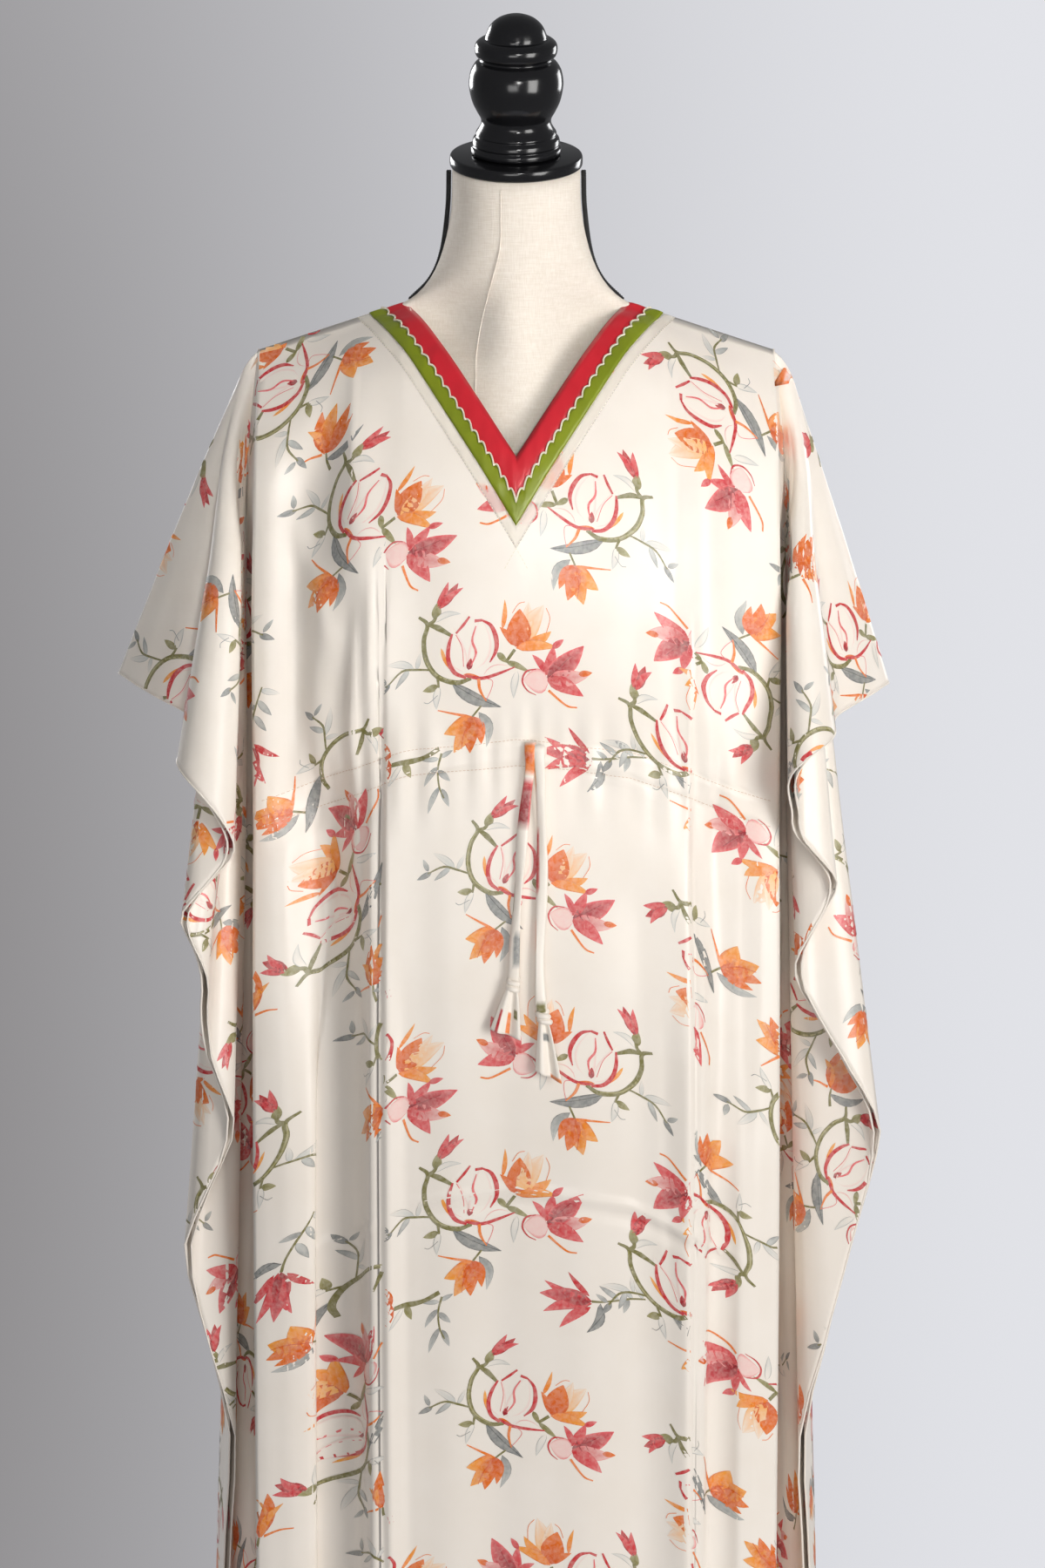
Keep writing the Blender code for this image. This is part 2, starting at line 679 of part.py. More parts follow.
turned("turned_finial", FINIAL_PROFILE, "black", FINIAL_PLACE, NECK_TILT, 20)

BASE_PROFILE = (
    (BASE_RADIUS - 0.004, 0.0), (BASE_RADIUS, 0.004), (BASE_RADIUS, 0.010),
    (BASE_RADIUS - 0.005, 0.017), (BASE_RADIUS - 0.016, 0.0205), (BASE_RADIUS - 0.026, 0.022),
    (0.055, 0.027), (0.034, 0.030), (0.030, 0.036), (0.0255, 0.043), (0.023, 0.045),
)
POLE_PROFILE = ((POLE_RADIUS, BASE_PROFILE[-1][1] + GAP), (POLE_RADIUS, TORSO[0][0] - GAP))
turned("stand_pole", POLE_PROFILE, "black", (0.0, 0.0, 0.0), 0.0, 20)

turned("round_base", BASE_PROFILE, "black", (0.0, 0.0, 0.0), 0.0, 32)


def tube(name, route, radius, look, sides=2):
    curve = bpy.data.curves.new(name, "CURVE")
    curve.dimensions = "3D"
    curve.bevel_depth = radius
    curve.bevel_resolution = sides
    curve.use_fill_caps = True
    line = curve.splines.new("POLY")
    line.points.add(len(route) - 1)
    for point, spot in zip(line.points, route):
        point.co = (*spot, 1.0)
    made = bpy.data.objects.new(name, curve)
    colour, rough = COLOURS[look]
    curve.materials.append(plain_material("mat_" + name, colour, rough))
    PART.objects.link(made)
    return made


def side_cord(name, side):
    """Gimp on the side seam of the neck, from under the disc to the neck edge."""
    edge = [(row[1], row[0]) for row in reversed(TORSO) if row[0] > 1.4895]
    edge[0] = (edge[0][0], edge[0][1] - 0.0040)
    edge[-1] = (edge[-1][0] - 0.0012, edge[-1][1] + 0.0010)
    route = []
    for k, spot in enumerate(edge):
        before = edge[max(k - 1, 0)]
        after = edge[min(k + 1, len(edge) - 1)]
        way = (Vector(after) - Vector(before)).normalized()
        off = CORD_RADIUS + 2.0 * GAP
        route.append((side * (spot[0] - way[1] * off), 0.0, spot[1] + way[0] * off))
    return tube(name, route, CORD_RADIUS, "braid")


side_cord("side_cord_left", -1)
side_cord("side_cord_right", 1)


def waist_casing():
    """Strip stitched inside the front to carry the drawstring."""
    low = []
    high = []
    under = -WALL / 2.0 - 3.0 * GAP
    tracks = np.linspace(CASING_T, CASING_T + CASING_WIDTH, 3)
    for s in np.linspace(-CASING_HALF, CASING_HALF, 35):
        high.append([on_front(s, t, under) for t in tracks])
        low.append([on_front(s, t, under - BAND_WALL) for t in tracks])
    return sheet_solid("drawstring_casing", np.array(high), np.array(low), "satin")


waist_casing()


def tie(name, places):
    """Drawstring end hanging free in front of the skirt."""
    off = WALL / 2.0 + 2.0 * GAP + TIE_WIDTH / 2.0
    route = [on_front(s, t, off + rise) for s, t, rise in places]
    return tube(name, route, TIE_WIDTH / 2.0, "satin")


tie("drawstring_end_short", TIE_SHORT)
tie("drawstring_end_long", TIE_LONG)
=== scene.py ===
import math

import bpy
import numpy as np
from mathutils import Matrix, Vector
from mathutils.bvhtree import BVHTree


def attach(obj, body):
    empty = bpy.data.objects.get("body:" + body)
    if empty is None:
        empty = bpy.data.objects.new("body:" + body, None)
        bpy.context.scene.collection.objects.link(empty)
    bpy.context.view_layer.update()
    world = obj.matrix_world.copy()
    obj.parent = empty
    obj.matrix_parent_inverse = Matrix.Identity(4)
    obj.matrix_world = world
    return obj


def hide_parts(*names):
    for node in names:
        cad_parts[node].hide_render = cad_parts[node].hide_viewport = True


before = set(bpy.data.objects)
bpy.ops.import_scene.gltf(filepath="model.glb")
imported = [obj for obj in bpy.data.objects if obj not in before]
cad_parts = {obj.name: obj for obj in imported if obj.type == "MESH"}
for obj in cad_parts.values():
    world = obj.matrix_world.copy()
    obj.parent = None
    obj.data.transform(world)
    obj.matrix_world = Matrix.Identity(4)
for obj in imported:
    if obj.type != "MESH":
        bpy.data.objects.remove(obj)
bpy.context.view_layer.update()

# sizes of the cut, metres
HALF_WIDTH = 0.50
LENGTH = 1.32
NECK_HALF = 0.092
NECK_DEPTH = 0.160
BACK_NECK_DEPTH = 0.055
BACK_NECK_RISE = 0.020
TIP_S = 0.215
SIDE_SEAM_S = 0.290
ARMHOLE = 0.40
FAN_START = 0.035

# cloth wall and the gaps of the solids
WALL = 0.0006
SOLID_WALL = 0.0012
SEAM_SHIFT = 0.0002
FLAP_GAP = 0.0006
BACK_ROOM = 0.0030
SLEEVE_ROOM = 0.0030
FOLD_ROOM = 0.0014
FORM_CLEAR = 0.0012

TIP_X = 0.204
TIP_Z = 1.4535
NECK_X = 0.0885
NECK_Z = 1.4915
FAN_X = 0.221
FAN_Z = 1.427

# body sections by drop below the shoulder
BODY_DROP = (0.0, 0.03, 0.06, 0.10, 0.15, 0.20, 0.25, 0.31, 0.375, 0.45, 0.55, 0.65, 0.80, 1.00, 1.40)
FRONT_TIP = (0.0, .022, .038, .052, .062, .069, .074, .079, .083, .090, .097, .101, .102, .102, .102)
FRONT_MID = (0.0, .032, .056, .077, .098, .112, .120, .119, .113, .122, .132, .136, .135, .132, .129)
BACK_TIP = (0.0, .020, .036, .048, .056, .061, .064, .066, .066, .068, .070, .070, .068, .066, .064)
BACK_MID = (0.0, .034, .060, .084, .103, .110, .110, .103, .094, .106, .124, .131, .130, .126, .122)
TIP_COLUMN = (.204, .205, .206, .207, .208, .209, .209, .209, .209, .210, .211, .212, .213, .214, .216)
SEAM_OUT = (.204, .209, .212, .214, .215, .215, .215, .215, .215, .216, .217, .218, .220, .221, .223)
SEAM_FRONT = (0.0, .002, .003, .005, .007, .008, .009, .009, .009, .010, .012, .013, .014, .015, .016)

# soft ridges of the front: column, width, height, drop where each starts and is full
FRONT_RIDGES = (
    (-0.118, 0.020, 0.011, 0.36, 0.60),
    (-0.172, 0.018, 0.010, 0.42, 0.70),
    (0.150, 0.020, 0.012, 0.40, 0.62),
    (0.186, 0.014, 0.009, 0.50, 0.75),
)

# folds of each side flap seen from above: outward and forward share of the radius
LEFT_FOLDS = (
    (.000, .000), (.036, -.008), (.044, -.044), (.058, -.058), (.068, -.038), (.056, -.004),
    (.034, .024), (.020, .046), (.016, .062), (.030, .074), (.055, .076), (.068, .092), (.050, .107),
    (.028, .112), (.020, .127), (.032, .141), (.052, .150), (.062, .180), (.062, .208),
    (.075, .226), (.098, .232), (.106, .248), (.090, .262), (.058, .266), (.032, .273),
    (.024, .294), (.036, .318), (.065, .338), (.100, .343), (.135, .328), (.156, .296),
    (.154, .258), (.136, .220), (.106, .196), (.090, .166), (.098, .132), (.130, .114),
    (.170, .108), (.250, .090), (.330, .050), (.405, .000),
)
RIGHT_FOLDS = (
    (.000, .000), (.036, -.008), (.042, -.042), (.056, -.054), (.066, -.036), (.054, -.002),
    (.034, .026), (.020, .048),
    (.018, .066), (.040, .080), (.075, .084), (.110, .092), (.118, .112), (.090, .127),
    (.045, .131), (.022, .143), (.022, .164), (.048, .178), (.080, .188), (.088, .210),
    (.064, .228), (.030, .238), (.016, .258), (.014, .284), (.006, .312), (.002, .340),
    (.010, .366), (.034, .382), (.070, .374), (.102, .345), (.116, .305), (.118, .262),
    (.122, .222), (.134, .184), (.158, .152), (.200, .112), (.258, .060), (.316, .000),
)
# angle where the folds end, the point that closes the first loop, and its narrowing lower down
FOLD_END_ANGLE = 87.0
LOOP_POINT = 7
LOOP_NARROWS = 0.65
LOOP_NARROWS_FROM = 0.45
# the flap is a plain bow at the shoulder and takes up its folds below it
PLAIN_BOW = 0.16
FOLDS_FROM = 0.04
FOLDS_GROW = 0.13
# side seam's bow towards the body: size, drop where it starts, length it grows over
SEAM_BOW = 0.012
SEAM_BOW_FROM = 0.10
SEAM_BOW_GROWS = 0.15
# shoulder seam outside the tip: slope of the neck's part and bend of the fan's part
NECK_SLOPE = -0.10
FAN_BEND = 0.35


def lin(red, green, blue):
    """Linear colour from 0 to 255 display values."""
    return tuple((v / 255.0 / 12.92) if v < 11 else ((v / 255.0 + 0.055) / 1.055) ** 2.4
                 for v in (red, green, blue))


def ease(value):
    value = np.clip(value, 0.0, 1.0)
    return value * value * (3.0 - 2.0 * value)


def unit(rows):
    """Vectors along the last axis at length one."""
    return rows / np.maximum(np.linalg.norm(rows, axis=-1, keepdims=True), 1e-12)


def distance_along(path):
    """Distance of each point of a path from its first."""
    steps = np.linalg.norm(np.diff(np.array(path, float), axis=0), axis=1)
    return np.concatenate([[0.0], np.cumsum(steps)])


def grid_quads(rows, count, start=0):
    """Faces of a grid whose points run row by row."""
    return [(a, a + 1, a + count + 1, a + count)
            for k in range(rows - 1) for a in range(start + k * count, start + k * count + count - 1)]


FINE_DROP = np.linspace(0.0, 1.4, 561)


def smooth_table(values):
    raw = np.interp(FINE_DROP, BODY_DROP, values)
    reach = np.arange(-12, 13)
    kernel = np.exp(-(reach / 5.0) ** 2)
    kernel /= kernel.sum()
    soft = np.convolve(np.pad(raw, 12, mode="edge"), kernel, mode="valid")
    share = ease(FINE_DROP / 0.06)
    return raw * (1 - share) + soft * share


TABLES = {id(t): smooth_table(t) for t in (
    FRONT_TIP, FRONT_MID, BACK_TIP, BACK_MID, TIP_COLUMN, SEAM_OUT, SEAM_FRONT)}


def table(drop, values):
    return np.interp(drop, FINE_DROP, TABLES[id(values)])


def spline(points, per=8):
    """Smooth line through points, with the place of each new point among the old."""
    pts = np.array(points, float)
    padded = np.vstack([2 * pts[0] - pts[1], pts, 2 * pts[-1] - pts[-2]])
    out = []
    where = []
    for k in range(len(pts) - 1):
        a, b, c, d = padded[k:k + 4]
        for u in np.arange(per) / per:
            out.append(0.5 * (2 * b + (c - a) * u + (2 * a - 5 * b + 4 * c - d) * u * u
                              + (3 * b - a - 3 * c + d) * u ** 3))
            where.append(k + u)
    out.append(pts[-1])
    where.append(len(pts) - 1)
    return np.array(out), np.array(where)


def fold_curve(points):
    along = distance_along(points)
    angles = FOLD_END_ANGLE * (1.0 - along / along[-1])
    fine, where = spline(points, 10)
    return np.interp(where, np.arange(len(points)), angles), fine, float(angles[LOOP_POINT])


FOLDS = {-1: fold_curve(LEFT_FOLDS), 1: fold_curve(RIGHT_FOLDS)}


def fold_place(side, angle):
    angles, places, _ = FOLDS[side]
    x = np.interp(angle, angles[::-1], places[::-1, 0])
    y = np.interp(angle, angles[::-1], places[::-1, 1])
    return np.stack([x, y], axis=-1)


def start_s(angle):
    return TIP_S + FAN_START * (1.0 - angle / 90.0)


def seam_angle(radius):
    """Angle of the side seam on a ring about the shoulder tip."""
    reach = np.maximum(radius, ARMHOLE)
    return np.degrees(np.arccos((SIDE_SEAM_S - start_s(82.0)) / reach))


def column_end(s0, angle):
    """Length of a flap's column up to the cuff or the hem."""
    cos_a = np.maximum(np.cos(np.radians(angle)), 1e-6)
    sin_a = np.maximum(np.sin(np.radians(angle)), 1e-6)
    return np.minimum((HALF_WIDTH - s0) / cos_a, LENGTH / sin_a)


def neck_start(s, layer):
    """How far below the shoulder line the neck's cut lies."""
    share = np.maximum(0.0, 1.0 - np.abs(s) / NECK_HALF)
    if layer > 0:
        return NECK_DEPTH * share ** 0.96
    return BACK_NECK_DEPTH * (1.0 - (1.0 - share) ** 2.2)


def seam_top(s):
    """Place of the shoulder seam, outward and up."""
    s = np.abs(s)
    share = (s - NECK_HALF) / (TIP_S - NECK_HALF)
    x = np.where(s < NECK_HALF, s * NECK_X / NECK_HALF, NECK_X + (TIP_X - NECK_X) * share)
    z = np.where(s < NECK_HALF, NECK_Z + (s - NECK_HALF) * NECK_SLOPE, NECK_Z + (TIP_Z - NECK_Z) * share)
    fan = np.clip((s - TIP_S) / FAN_START, 0.0, 1.0)
    bend = FAN_BEND * fan * (1.0 - fan)
    x = np.where(s > TIP_S, TIP_X + (FAN_X - TIP_X) * (fan + bend), x)
    z = np.where(s > TIP_S, TIP_Z + (FAN_Z - TIP_Z) * (fan - bend), z)
    return x, z


def body_place(side, s, drop, layer):
    """Outward and forward place of the body's cloth between the shoulder tips."""
    tip, mid = (FRONT_TIP, FRONT_MID) if layer > 0 else (BACK_TIP, BACK_MID)
    share = s / TIP_S
    out = table(drop, TIP_COLUMN) * share
    bulge = 1.0 - share ** 2.4
    depth = table(drop, tip) + (table(drop, mid) - table(drop, tip)) * bulge
    depth = np.maximum(depth, SEAM_SHIFT)
    if layer > 0:
        for column, width, peak, begin, full in FRONT_RIDGES:
            near = np.exp(-((side * s - column) / width) ** 2)
            depth = depth + peak * near * ease((drop - begin) / (full - begin))
    return np.stack(np.broadcast_arrays(out, depth * layer), axis=-1)


def wall_place(side, share, drop, layer):
    """Cloth at the form's side, from the tip's column to the side seam."""
    start = body_place(side, TIP_S, drop, layer)
    seam = np.stack([table(drop, SEAM_OUT), table(drop, SEAM_FRONT)], axis=-1)
    bow = SEAM_BOW * ease((drop - SEAM_BOW_FROM) / SEAM_BOW_GROWS) * np.sin(np.pi * share)
    place = start + (seam - start) * share[..., None]
    place[..., 0] -= bow
    return place


def fold_share(side, angle, drop):
    """Folds of the loose flap, as shares of the ring's radius."""
    seam = seam_angle(drop)
    _, places, loop = FOLDS[side]
    along = (angle - loop) / (seam - loop)
    begin = fold_place(side, np.full_like(angle, loop))
    chord = begin * (1.0 - along)[..., None]
    turned = fold_place(side, loop + along * (FOLD_END_ANGLE - loop))
    size = (seam - loop) / (FOLD_END_ANGLE - loop)
    size = size * (1.0 - LOOP_NARROWS * ease((drop - LOOP_NARROWS_FROM) / LOOP_NARROWS_FROM))
    first = chord + (turned - chord) * size[..., None]
    folded = np.where((angle > loop)[..., None], first, fold_place(side, angle))
    share = 1.0 - np.minimum(angle, seam) / seam
    reach = places[-1][0]
    plain = np.stack([reach * share, PLAIN_BOW * np.sin(np.pi * share)], axis=-1)
    return plain + (folded - plain) * ease((drop - FOLDS_FROM) / FOLDS_GROW)[..., None]


def ring_place(side, angle, drop, layer):
    """Place on the ring at a drop: the side wall inside the seam, the flap outside it."""
    seam = seam_angle(drop)
    wall = wall_place(side, np.clip((90.0 - angle) / (90.0 - seam), 0.0, 1.0), drop, layer)
    base = np.stack([table(drop, SEAM_OUT), table(drop, SEAM_FRONT)], axis=-1)
    flap = base + drop[..., None] * fold_share(side, angle, drop)
    ahead = flap[..., 1] - table(drop, FRONT_TIP) - 0.004
    limit = base[..., 0] + 0.005 * ease(drop / 0.15) - 0.05 * ease(ahead / 0.010)
    held = np.maximum(flap[..., 0], limit)
    flap[..., 0] = np.where(angle < FOLDS[side][2], held, flap[..., 0])
    return np.where((angle >= seam)[..., None], wall, flap)


def fan_points(side, s0, angle, radius, layer):
    """Hanging places of a column that leaves the shoulder tip at an angle."""
    reach = radius + (s0 - TIP_S) * np.cos(np.radians(angle))
    drop = np.maximum(reach, 1e-5)
    for _ in range(4):
        place = ring_place(side, angle, drop, layer)
        away = np.hypot(place[..., 0] - TIP_X, place[..., 1])
        drop = np.maximum(np.sqrt(np.maximum(reach ** 2 - away ** 2, (0.5 * reach) ** 2)), 1e-5)
    top_x, top_z = seam_top(s0)
    near = ease(radius / (0.012 + 0.088 * (1.0 - angle / 90.0)))
    out = top_x + (place[..., 0] - top_x) * near
    fore = place[..., 1] * near
    up = top_z + (TIP_Z - drop - top_z) * near
    return np.stack([side * out, -fore, up], axis=-1)


def tip_column(side, layer):
    radii = np.linspace(0.0, LENGTH, 140)
    full = np.full_like(radii, TIP_S)
    return radii, fan_points(side, full, np.full_like(radii, 90.0), radii, layer)


TIP_COLUMNS = {(side, layer): tip_column(side, layer) for side in (-1, 1) for layer in (-1, 1)}


def body_column(side, s0, radii, layer):
    """Hanging places of a column of the body, with its length kept."""
    tip_radii, tip_points = TIP_COLUMNS[(side, layer)]
    fine = np.linspace(0.0, LENGTH, 280)
    drops = TIP_Z - np.interp(fine, tip_radii, tip_points[:, 2])
    places = body_place(side, s0, drops, layer)
    step = fine[1] - fine[0]

    def heights(track):
        moves = np.linalg.norm(np.diff(track, axis=0), axis=1)
        falls = np.sqrt(np.maximum(step ** 2 - moves ** 2, (0.35 * step) ** 2))
        return -np.concatenate([[0.0], np.cumsum(falls)])

    edge = body_place(side, TIP_S, drops, layer)
    shift = np.interp(fine, tip_radii, tip_points[:, 2]) - TIP_Z - heights(edge)
    _, top_z = seam_top(s0)
    if layer < 0:
        top_z = top_z + BACK_NECK_RISE * max(0.0, 1.0 - s0 / NECK_HALF)
    up = top_z + heights(places) + shift * (s0 / TIP_S) ** 2
    up = np.interp(radii, fine, up)
    out = np.interp(radii, fine, places[:, 0])
    fore = np.interp(radii, fine, places[:, 1])
    return np.stack([side * out, -fore, up], axis=1)


def layer_gap(angle, radius, layer):
    """How far a flap's cloth stands off the middle between front and back."""
    seam = seam_angle(radius)
    closed = np.full_like(radius, SOLID_WALL / 2.0 + FLAP_GAP)
    if layer < 0:
        near = np.exp(-((angle - seam) / 6.0) ** 2)
        closed = closed + BACK_ROOM * near * ease(radius / 0.03) * ease((0.24 - radius) / 0.08)
    share = np.clip((90.0 - angle) / np.maximum(90.0 - seam, 1e-6), 0.0, 1.0)
    inside = closed * np.maximum(share, 1.0 - radius / 0.03)
    loose = SLEEVE_ROOM * ease(angle / 8.0) * ease((20.0 - angle) / 9.0)
    flap = closed + loose * ease((radius - 0.05) / 0.12) + FOLD_ROOM * ease(radius / 0.25)
    return np.where(angle >= 90.0, 0.0, np.where(angle >= seam, inside, flap))


# dress form: height, half width, front and back depth at the centre, shoulder depth
TORSO = (
    (0.716, .140, .085, .095, 1.0), (0.724, .158, .101, .112, 1.0), (0.745, .165, .107, .119, 1.0),
    (0.80, .169, .110, .122, 1.0), (0.88, .169, .108, .119, 1.0), (0.96, .157, .098, .100, 1.0),
    (1.03, .138, .086, .083, 1.0), (1.08, .128, .080, .075, 1.0), (1.14, .134, .086, .081, 1.0),
    (1.20, .146, .101, .091, 1.0), (1.25, .155, .110, .099, 1.0), (1.30, .161, .103, .102, 1.0),
    (1.35, .172, .085, .099, 1.0), (1.39, .186, .070, .086, 0.82), (1.42, .194, .061, .072, 0.62),
    (1.440, .1985, .056, .062, 0.50), (1.4512, .193, .054, .056, 0.30), (1.4594, .175, .053, .054, 0.19),
    (1.4724, .140, .052, .052, 0.13), (1.4828, .106, .050, .050, 0.06), (1.4898, .084, .048, .048, 0.18),
    (1.508, .066, .049, .048, 0.9), (1.53, .0565, .0535, .0525, 1.0), (1.565, .0515, .053, .052, 1.0),
    (1.598, .0505, .0525, .052, 1.0),
)
NECK_ROOT = 0.042
NECK_TILT = math.radians(14.0)
TILT_FROM = 1.50
FORM_SIDES = 112


def mesh_object(name, points, faces, material=None):
    mesh = bpy.data.meshes.new(name)
    mesh.from_pydata([tuple(p) for p in points], [], [tuple(f) for f in faces])
    mesh.update()
    mesh.polygons.foreach_set("use_smooth", [True] * len(mesh.polygons))
    if material:
        mesh.materials.append(material)
    made = bpy.data.objects.new(name, mesh)
    bpy.context.scene.collection.objects.link(made)
    return made


def torso_ring(height, half, front, back, flat):
    power = 2.0 if height > 1.36 else 2.25
    tilt = math.tan(NECK_TILT * float(ease((height - TILT_FROM) / 0.07)))
    ring = []
    for i in range(FORM_SIDES):
        turn = 2.0 * math.pi * i / FORM_SIDES
        c, d = math.cos(turn), math.sin(turn)
        x = half * math.copysign(abs(c) ** (2.0 / power), c)
        deep = back if d > 0 else front
        wide = deep * flat * abs(d) ** (2.0 / power)
        root = deep * (1.0 - flat) * math.exp(-(x / NECK_ROOT) ** 2) * min(1.0, abs(d) * 3.0)
        y = math.copysign(wide + root, d)
        ring.append((x, y, height + y * tilt))
    return ring


def lathe_faces(rows, count):
    """Faces of rings on top of each other, closed at both ends."""
    faces = []
    for k in range(0, (rows - 1) * count, count):
        for i in range(count):
            j = (i + 1) % count
            faces.append((k + i, k + j, k + count + j, k + count + i))
    faces.append(tuple(reversed(range(count))))
    faces.append(tuple(range((rows - 1) * count, rows * count)))
    return faces


def make_form():
    rows, _ = spline(TORSO, 3)
    rows[:, 4] = np.clip(rows[:, 4], 0.05, 1.0)
    points = np.array([torso_ring(*[float(v) for v in row]) for row in rows])
    soft = (ease((rows[1:-1, 0] - 1.475) / 0.010) * ease((1.560 - rows[1:-1, 0]) / 0.020))[:, None, None]
    for _ in range(12):
        points[1:-1] += soft * (0.25 * (points[:-2] + points[2:]) - 0.5 * points[1:-1])
    return mesh_object("form_cover", points.reshape(-1, 3), lathe_faces(len(rows), FORM_SIDES))


FORM = make_form()

# the fine cloth's grid: columns of a flap, and where each group of rows starts and its number
FLAP_STEPS = 104
LEVEL_STARTS = ((0.0, 26), (0.200, 14), (0.356, 20), (0.410, 26), (0.728, 11), (0.770, 26))
NECK_ZONE = 0.200
LEVELS = np.concatenate([np.linspace(a, b, n, endpoint=False) for (a, n), b in zip(
    LEVEL_STARTS, [row[0] for row in LEVEL_STARTS[1:]] + [LENGTH])] + [[LENGTH]])
ROWS = len(LEVELS)
EDGE_LEFT = -0.1065
EDGE_RIGHT = 0.142
NEAR_EDGE = np.array([-0.006, -0.004, -0.003, -0.002, -0.001, 0.0, 0.001, 0.002, 0.003, 0.004, 0.006])
CENTRE = np.unique(np.round(np.concatenate([
    np.linspace(-TIP_S, TIP_S, 145), EDGE_LEFT + NEAR_EDGE, EDGE_RIGHT + NEAR_EDGE]), 6))
CORNER_ANGLE = math.degrees(math.atan2(LENGTH, HALF_WIDTH - start_s(78.0)))

# creases of the front: both ends across and down, width, height (a trough is below zero)
CREASES = (
    (-0.100, 0.744, 0.205, 0.746, 0.0035, 0.0020),
    (-0.100, 0.754, 0.205, 0.756, 0.0060, -0.0014),
    (-0.205, 0.766, -0.096, 0.744, 0.0035, 0.0018),
    (-0.116, 0.200, -0.118, 0.520, 0.0026, 0.0016),
    (-0.124, 0.230, -0.128, 0.500, 0.0030, -0.0018),
    (-0.131, 0.240, -0.138, 0.560, 0.0030, 0.0018),
    (-0.160, 0.340, -0.162, 1.320, 0.0300, -0.0290),
    (-0.142, 0.520, -0.140, 1.320, 0.0160, -0.0050),
    (0.166, 0.360, 0.164, 1.320, 0.0200, -0.0110),
    (-0.174, 0.080, -0.184, 0.420, 0.0250, -0.0150),
    (-0.196, 0.120, -0.140, 0.300, 0.0090, 0.0040),
    (-0.080, 0.190, -0.086, 0.372, 0.0260, -0.0030),
    (0.104, 0.200, 0.100, 0.372, 0.0220, -0.0026),
    (-0.190, 0.360, -0.188, 1.280, 0.0090, 0.0036),
    (-0.134, 0.020, -0.131, 0.200, 0.0030, 0.0012),
    (-0.150, 0.160, -0.175, 0.360, 0.0140, 0.0040),
    (-0.126, 0.200, -0.148, 0.360, 0.0100, -0.0032),
    (0.130, 0.020, 0.132, 0.180, 0.0030, -0.0010),
    (0.190, 0.300, 0.192, 1.280, 0.0070, -0.0030),
    (0.156, 0.450, 0.158, 1.280, 0.0050, 0.0020),
    (-0.118, 0.42, -0.116, 1.30, 0.0028, 0.0010),
    (-0.090, 0.55, -0.086, 1.30, 0.0040, -0.0007),
    (0.146, 0.42, 0.150, 1.30, 0.0028, 0.0010),
    (-0.008, 0.262, 0.036, 0.238, 0.0036, 0.0032),
    (-0.004, 0.270, 0.040, 0.246, 0.0040, -0.0018),
    (-0.130, 0.05, -0.118, 0.36, 0.0150, 0.0032),
    (-0.158, 0.05, -0.146, 0.40, 0.0130, -0.0034),
    (0.152, 0.06, 0.150, 0.38, 0.0150, 0.0030),
    (0.128, 0.10, 0.130, 0.38, 0.0120, -0.0026),
    (0.004, 0.20, -0.030, 0.35, 0.0200, 0.0012),
    (-0.150, 0.392, -0.050, 0.440, 0.0100, -0.0016),
    (0.040, 0.400, 0.150, 0.440, 0.0090, -0.0014),
    (-0.050, 0.42, -0.058, 1.30, 0.0200, 0.0018),
    (-0.010, 0.50, -0.016, 1.30, 0.0180, -0.0016),
    (0.052, 0.42, 0.058, 1.30, 0.0220, 0.0018),
    (0.100, 0.46, 0.108, 1.30, 0.0160, -0.0020),
)
# fold edges: height of the step, then its line as across, down and share of the height
FOLD_EDGES = (
    (0.0062, ((-0.1000, 0.200, 0.0), (-0.1050, 0.300, 0.4), (-0.1065, 0.400, 1.0),
              (-0.1065, 0.900, 1.0), (-0.1040, 1.310, 0.6))),
    (0.0050, ((-0.1340, 0.280, 0.0), (-0.1420, 0.370, 0.4), (-0.1600, 0.510, 0.8),
              (-0.1660, 0.600, 1.0), (-0.1670, 1.310, 0.8))),
    (-0.0058, ((0.1400, 0.230, 0.0), (0.1420, 0.300, 0.5), (0.1420, 0.400, 0.9),
               (0.1420, 0.900, 1.0), (0.1450, 1.310, 0.7))),
    (-0.0040, ((0.1700, 0.480, 0.0), (0.1670, 0.600, 0.8), (0.1610, 0.750, 1.0),
               (0.1560, 1.310, 0.8))),
    (-0.0012, ((0.1130, 0.520, 0.0), (0.1150, 0.600, 0.8), (0.1190, 0.750, 1.0),
               (0.1260, 0.860, 0.0))),
)
# how soft a step is, and how far its height runs out on the raised and the sunk side
STEP_BLUR = 0.0011
STEP_RAISED = 0.026
STEP_SUNK = 0.018
CREASE_END = 0.06
# casing: place, size, its rise under the cloth and the dent along its stitches
CASING_T = 0.374
CASING_WIDTH = 0.020
CASING_RISE = 0.0009
STITCH_DENT = 0.0010
STITCH_DENT_WIDTH = 0.0016
# gathers above and below the casing: two waves across, their height and reach
GATHER_WAVES = ((0.019, 0.55), (0.031, 0.45))
GATHER_HEIGHT = 0.0013
GATHER_REACH = 0.030
# creases die away towards the shoulder tip's column
CREASES_STOP = 0.213
CREASES_FADE = 0.03


def casing_shift(s):
    """How far the casing hangs below a straight line across the cut."""
    return 0.009 - 0.018 * (s / 0.2) ** 2


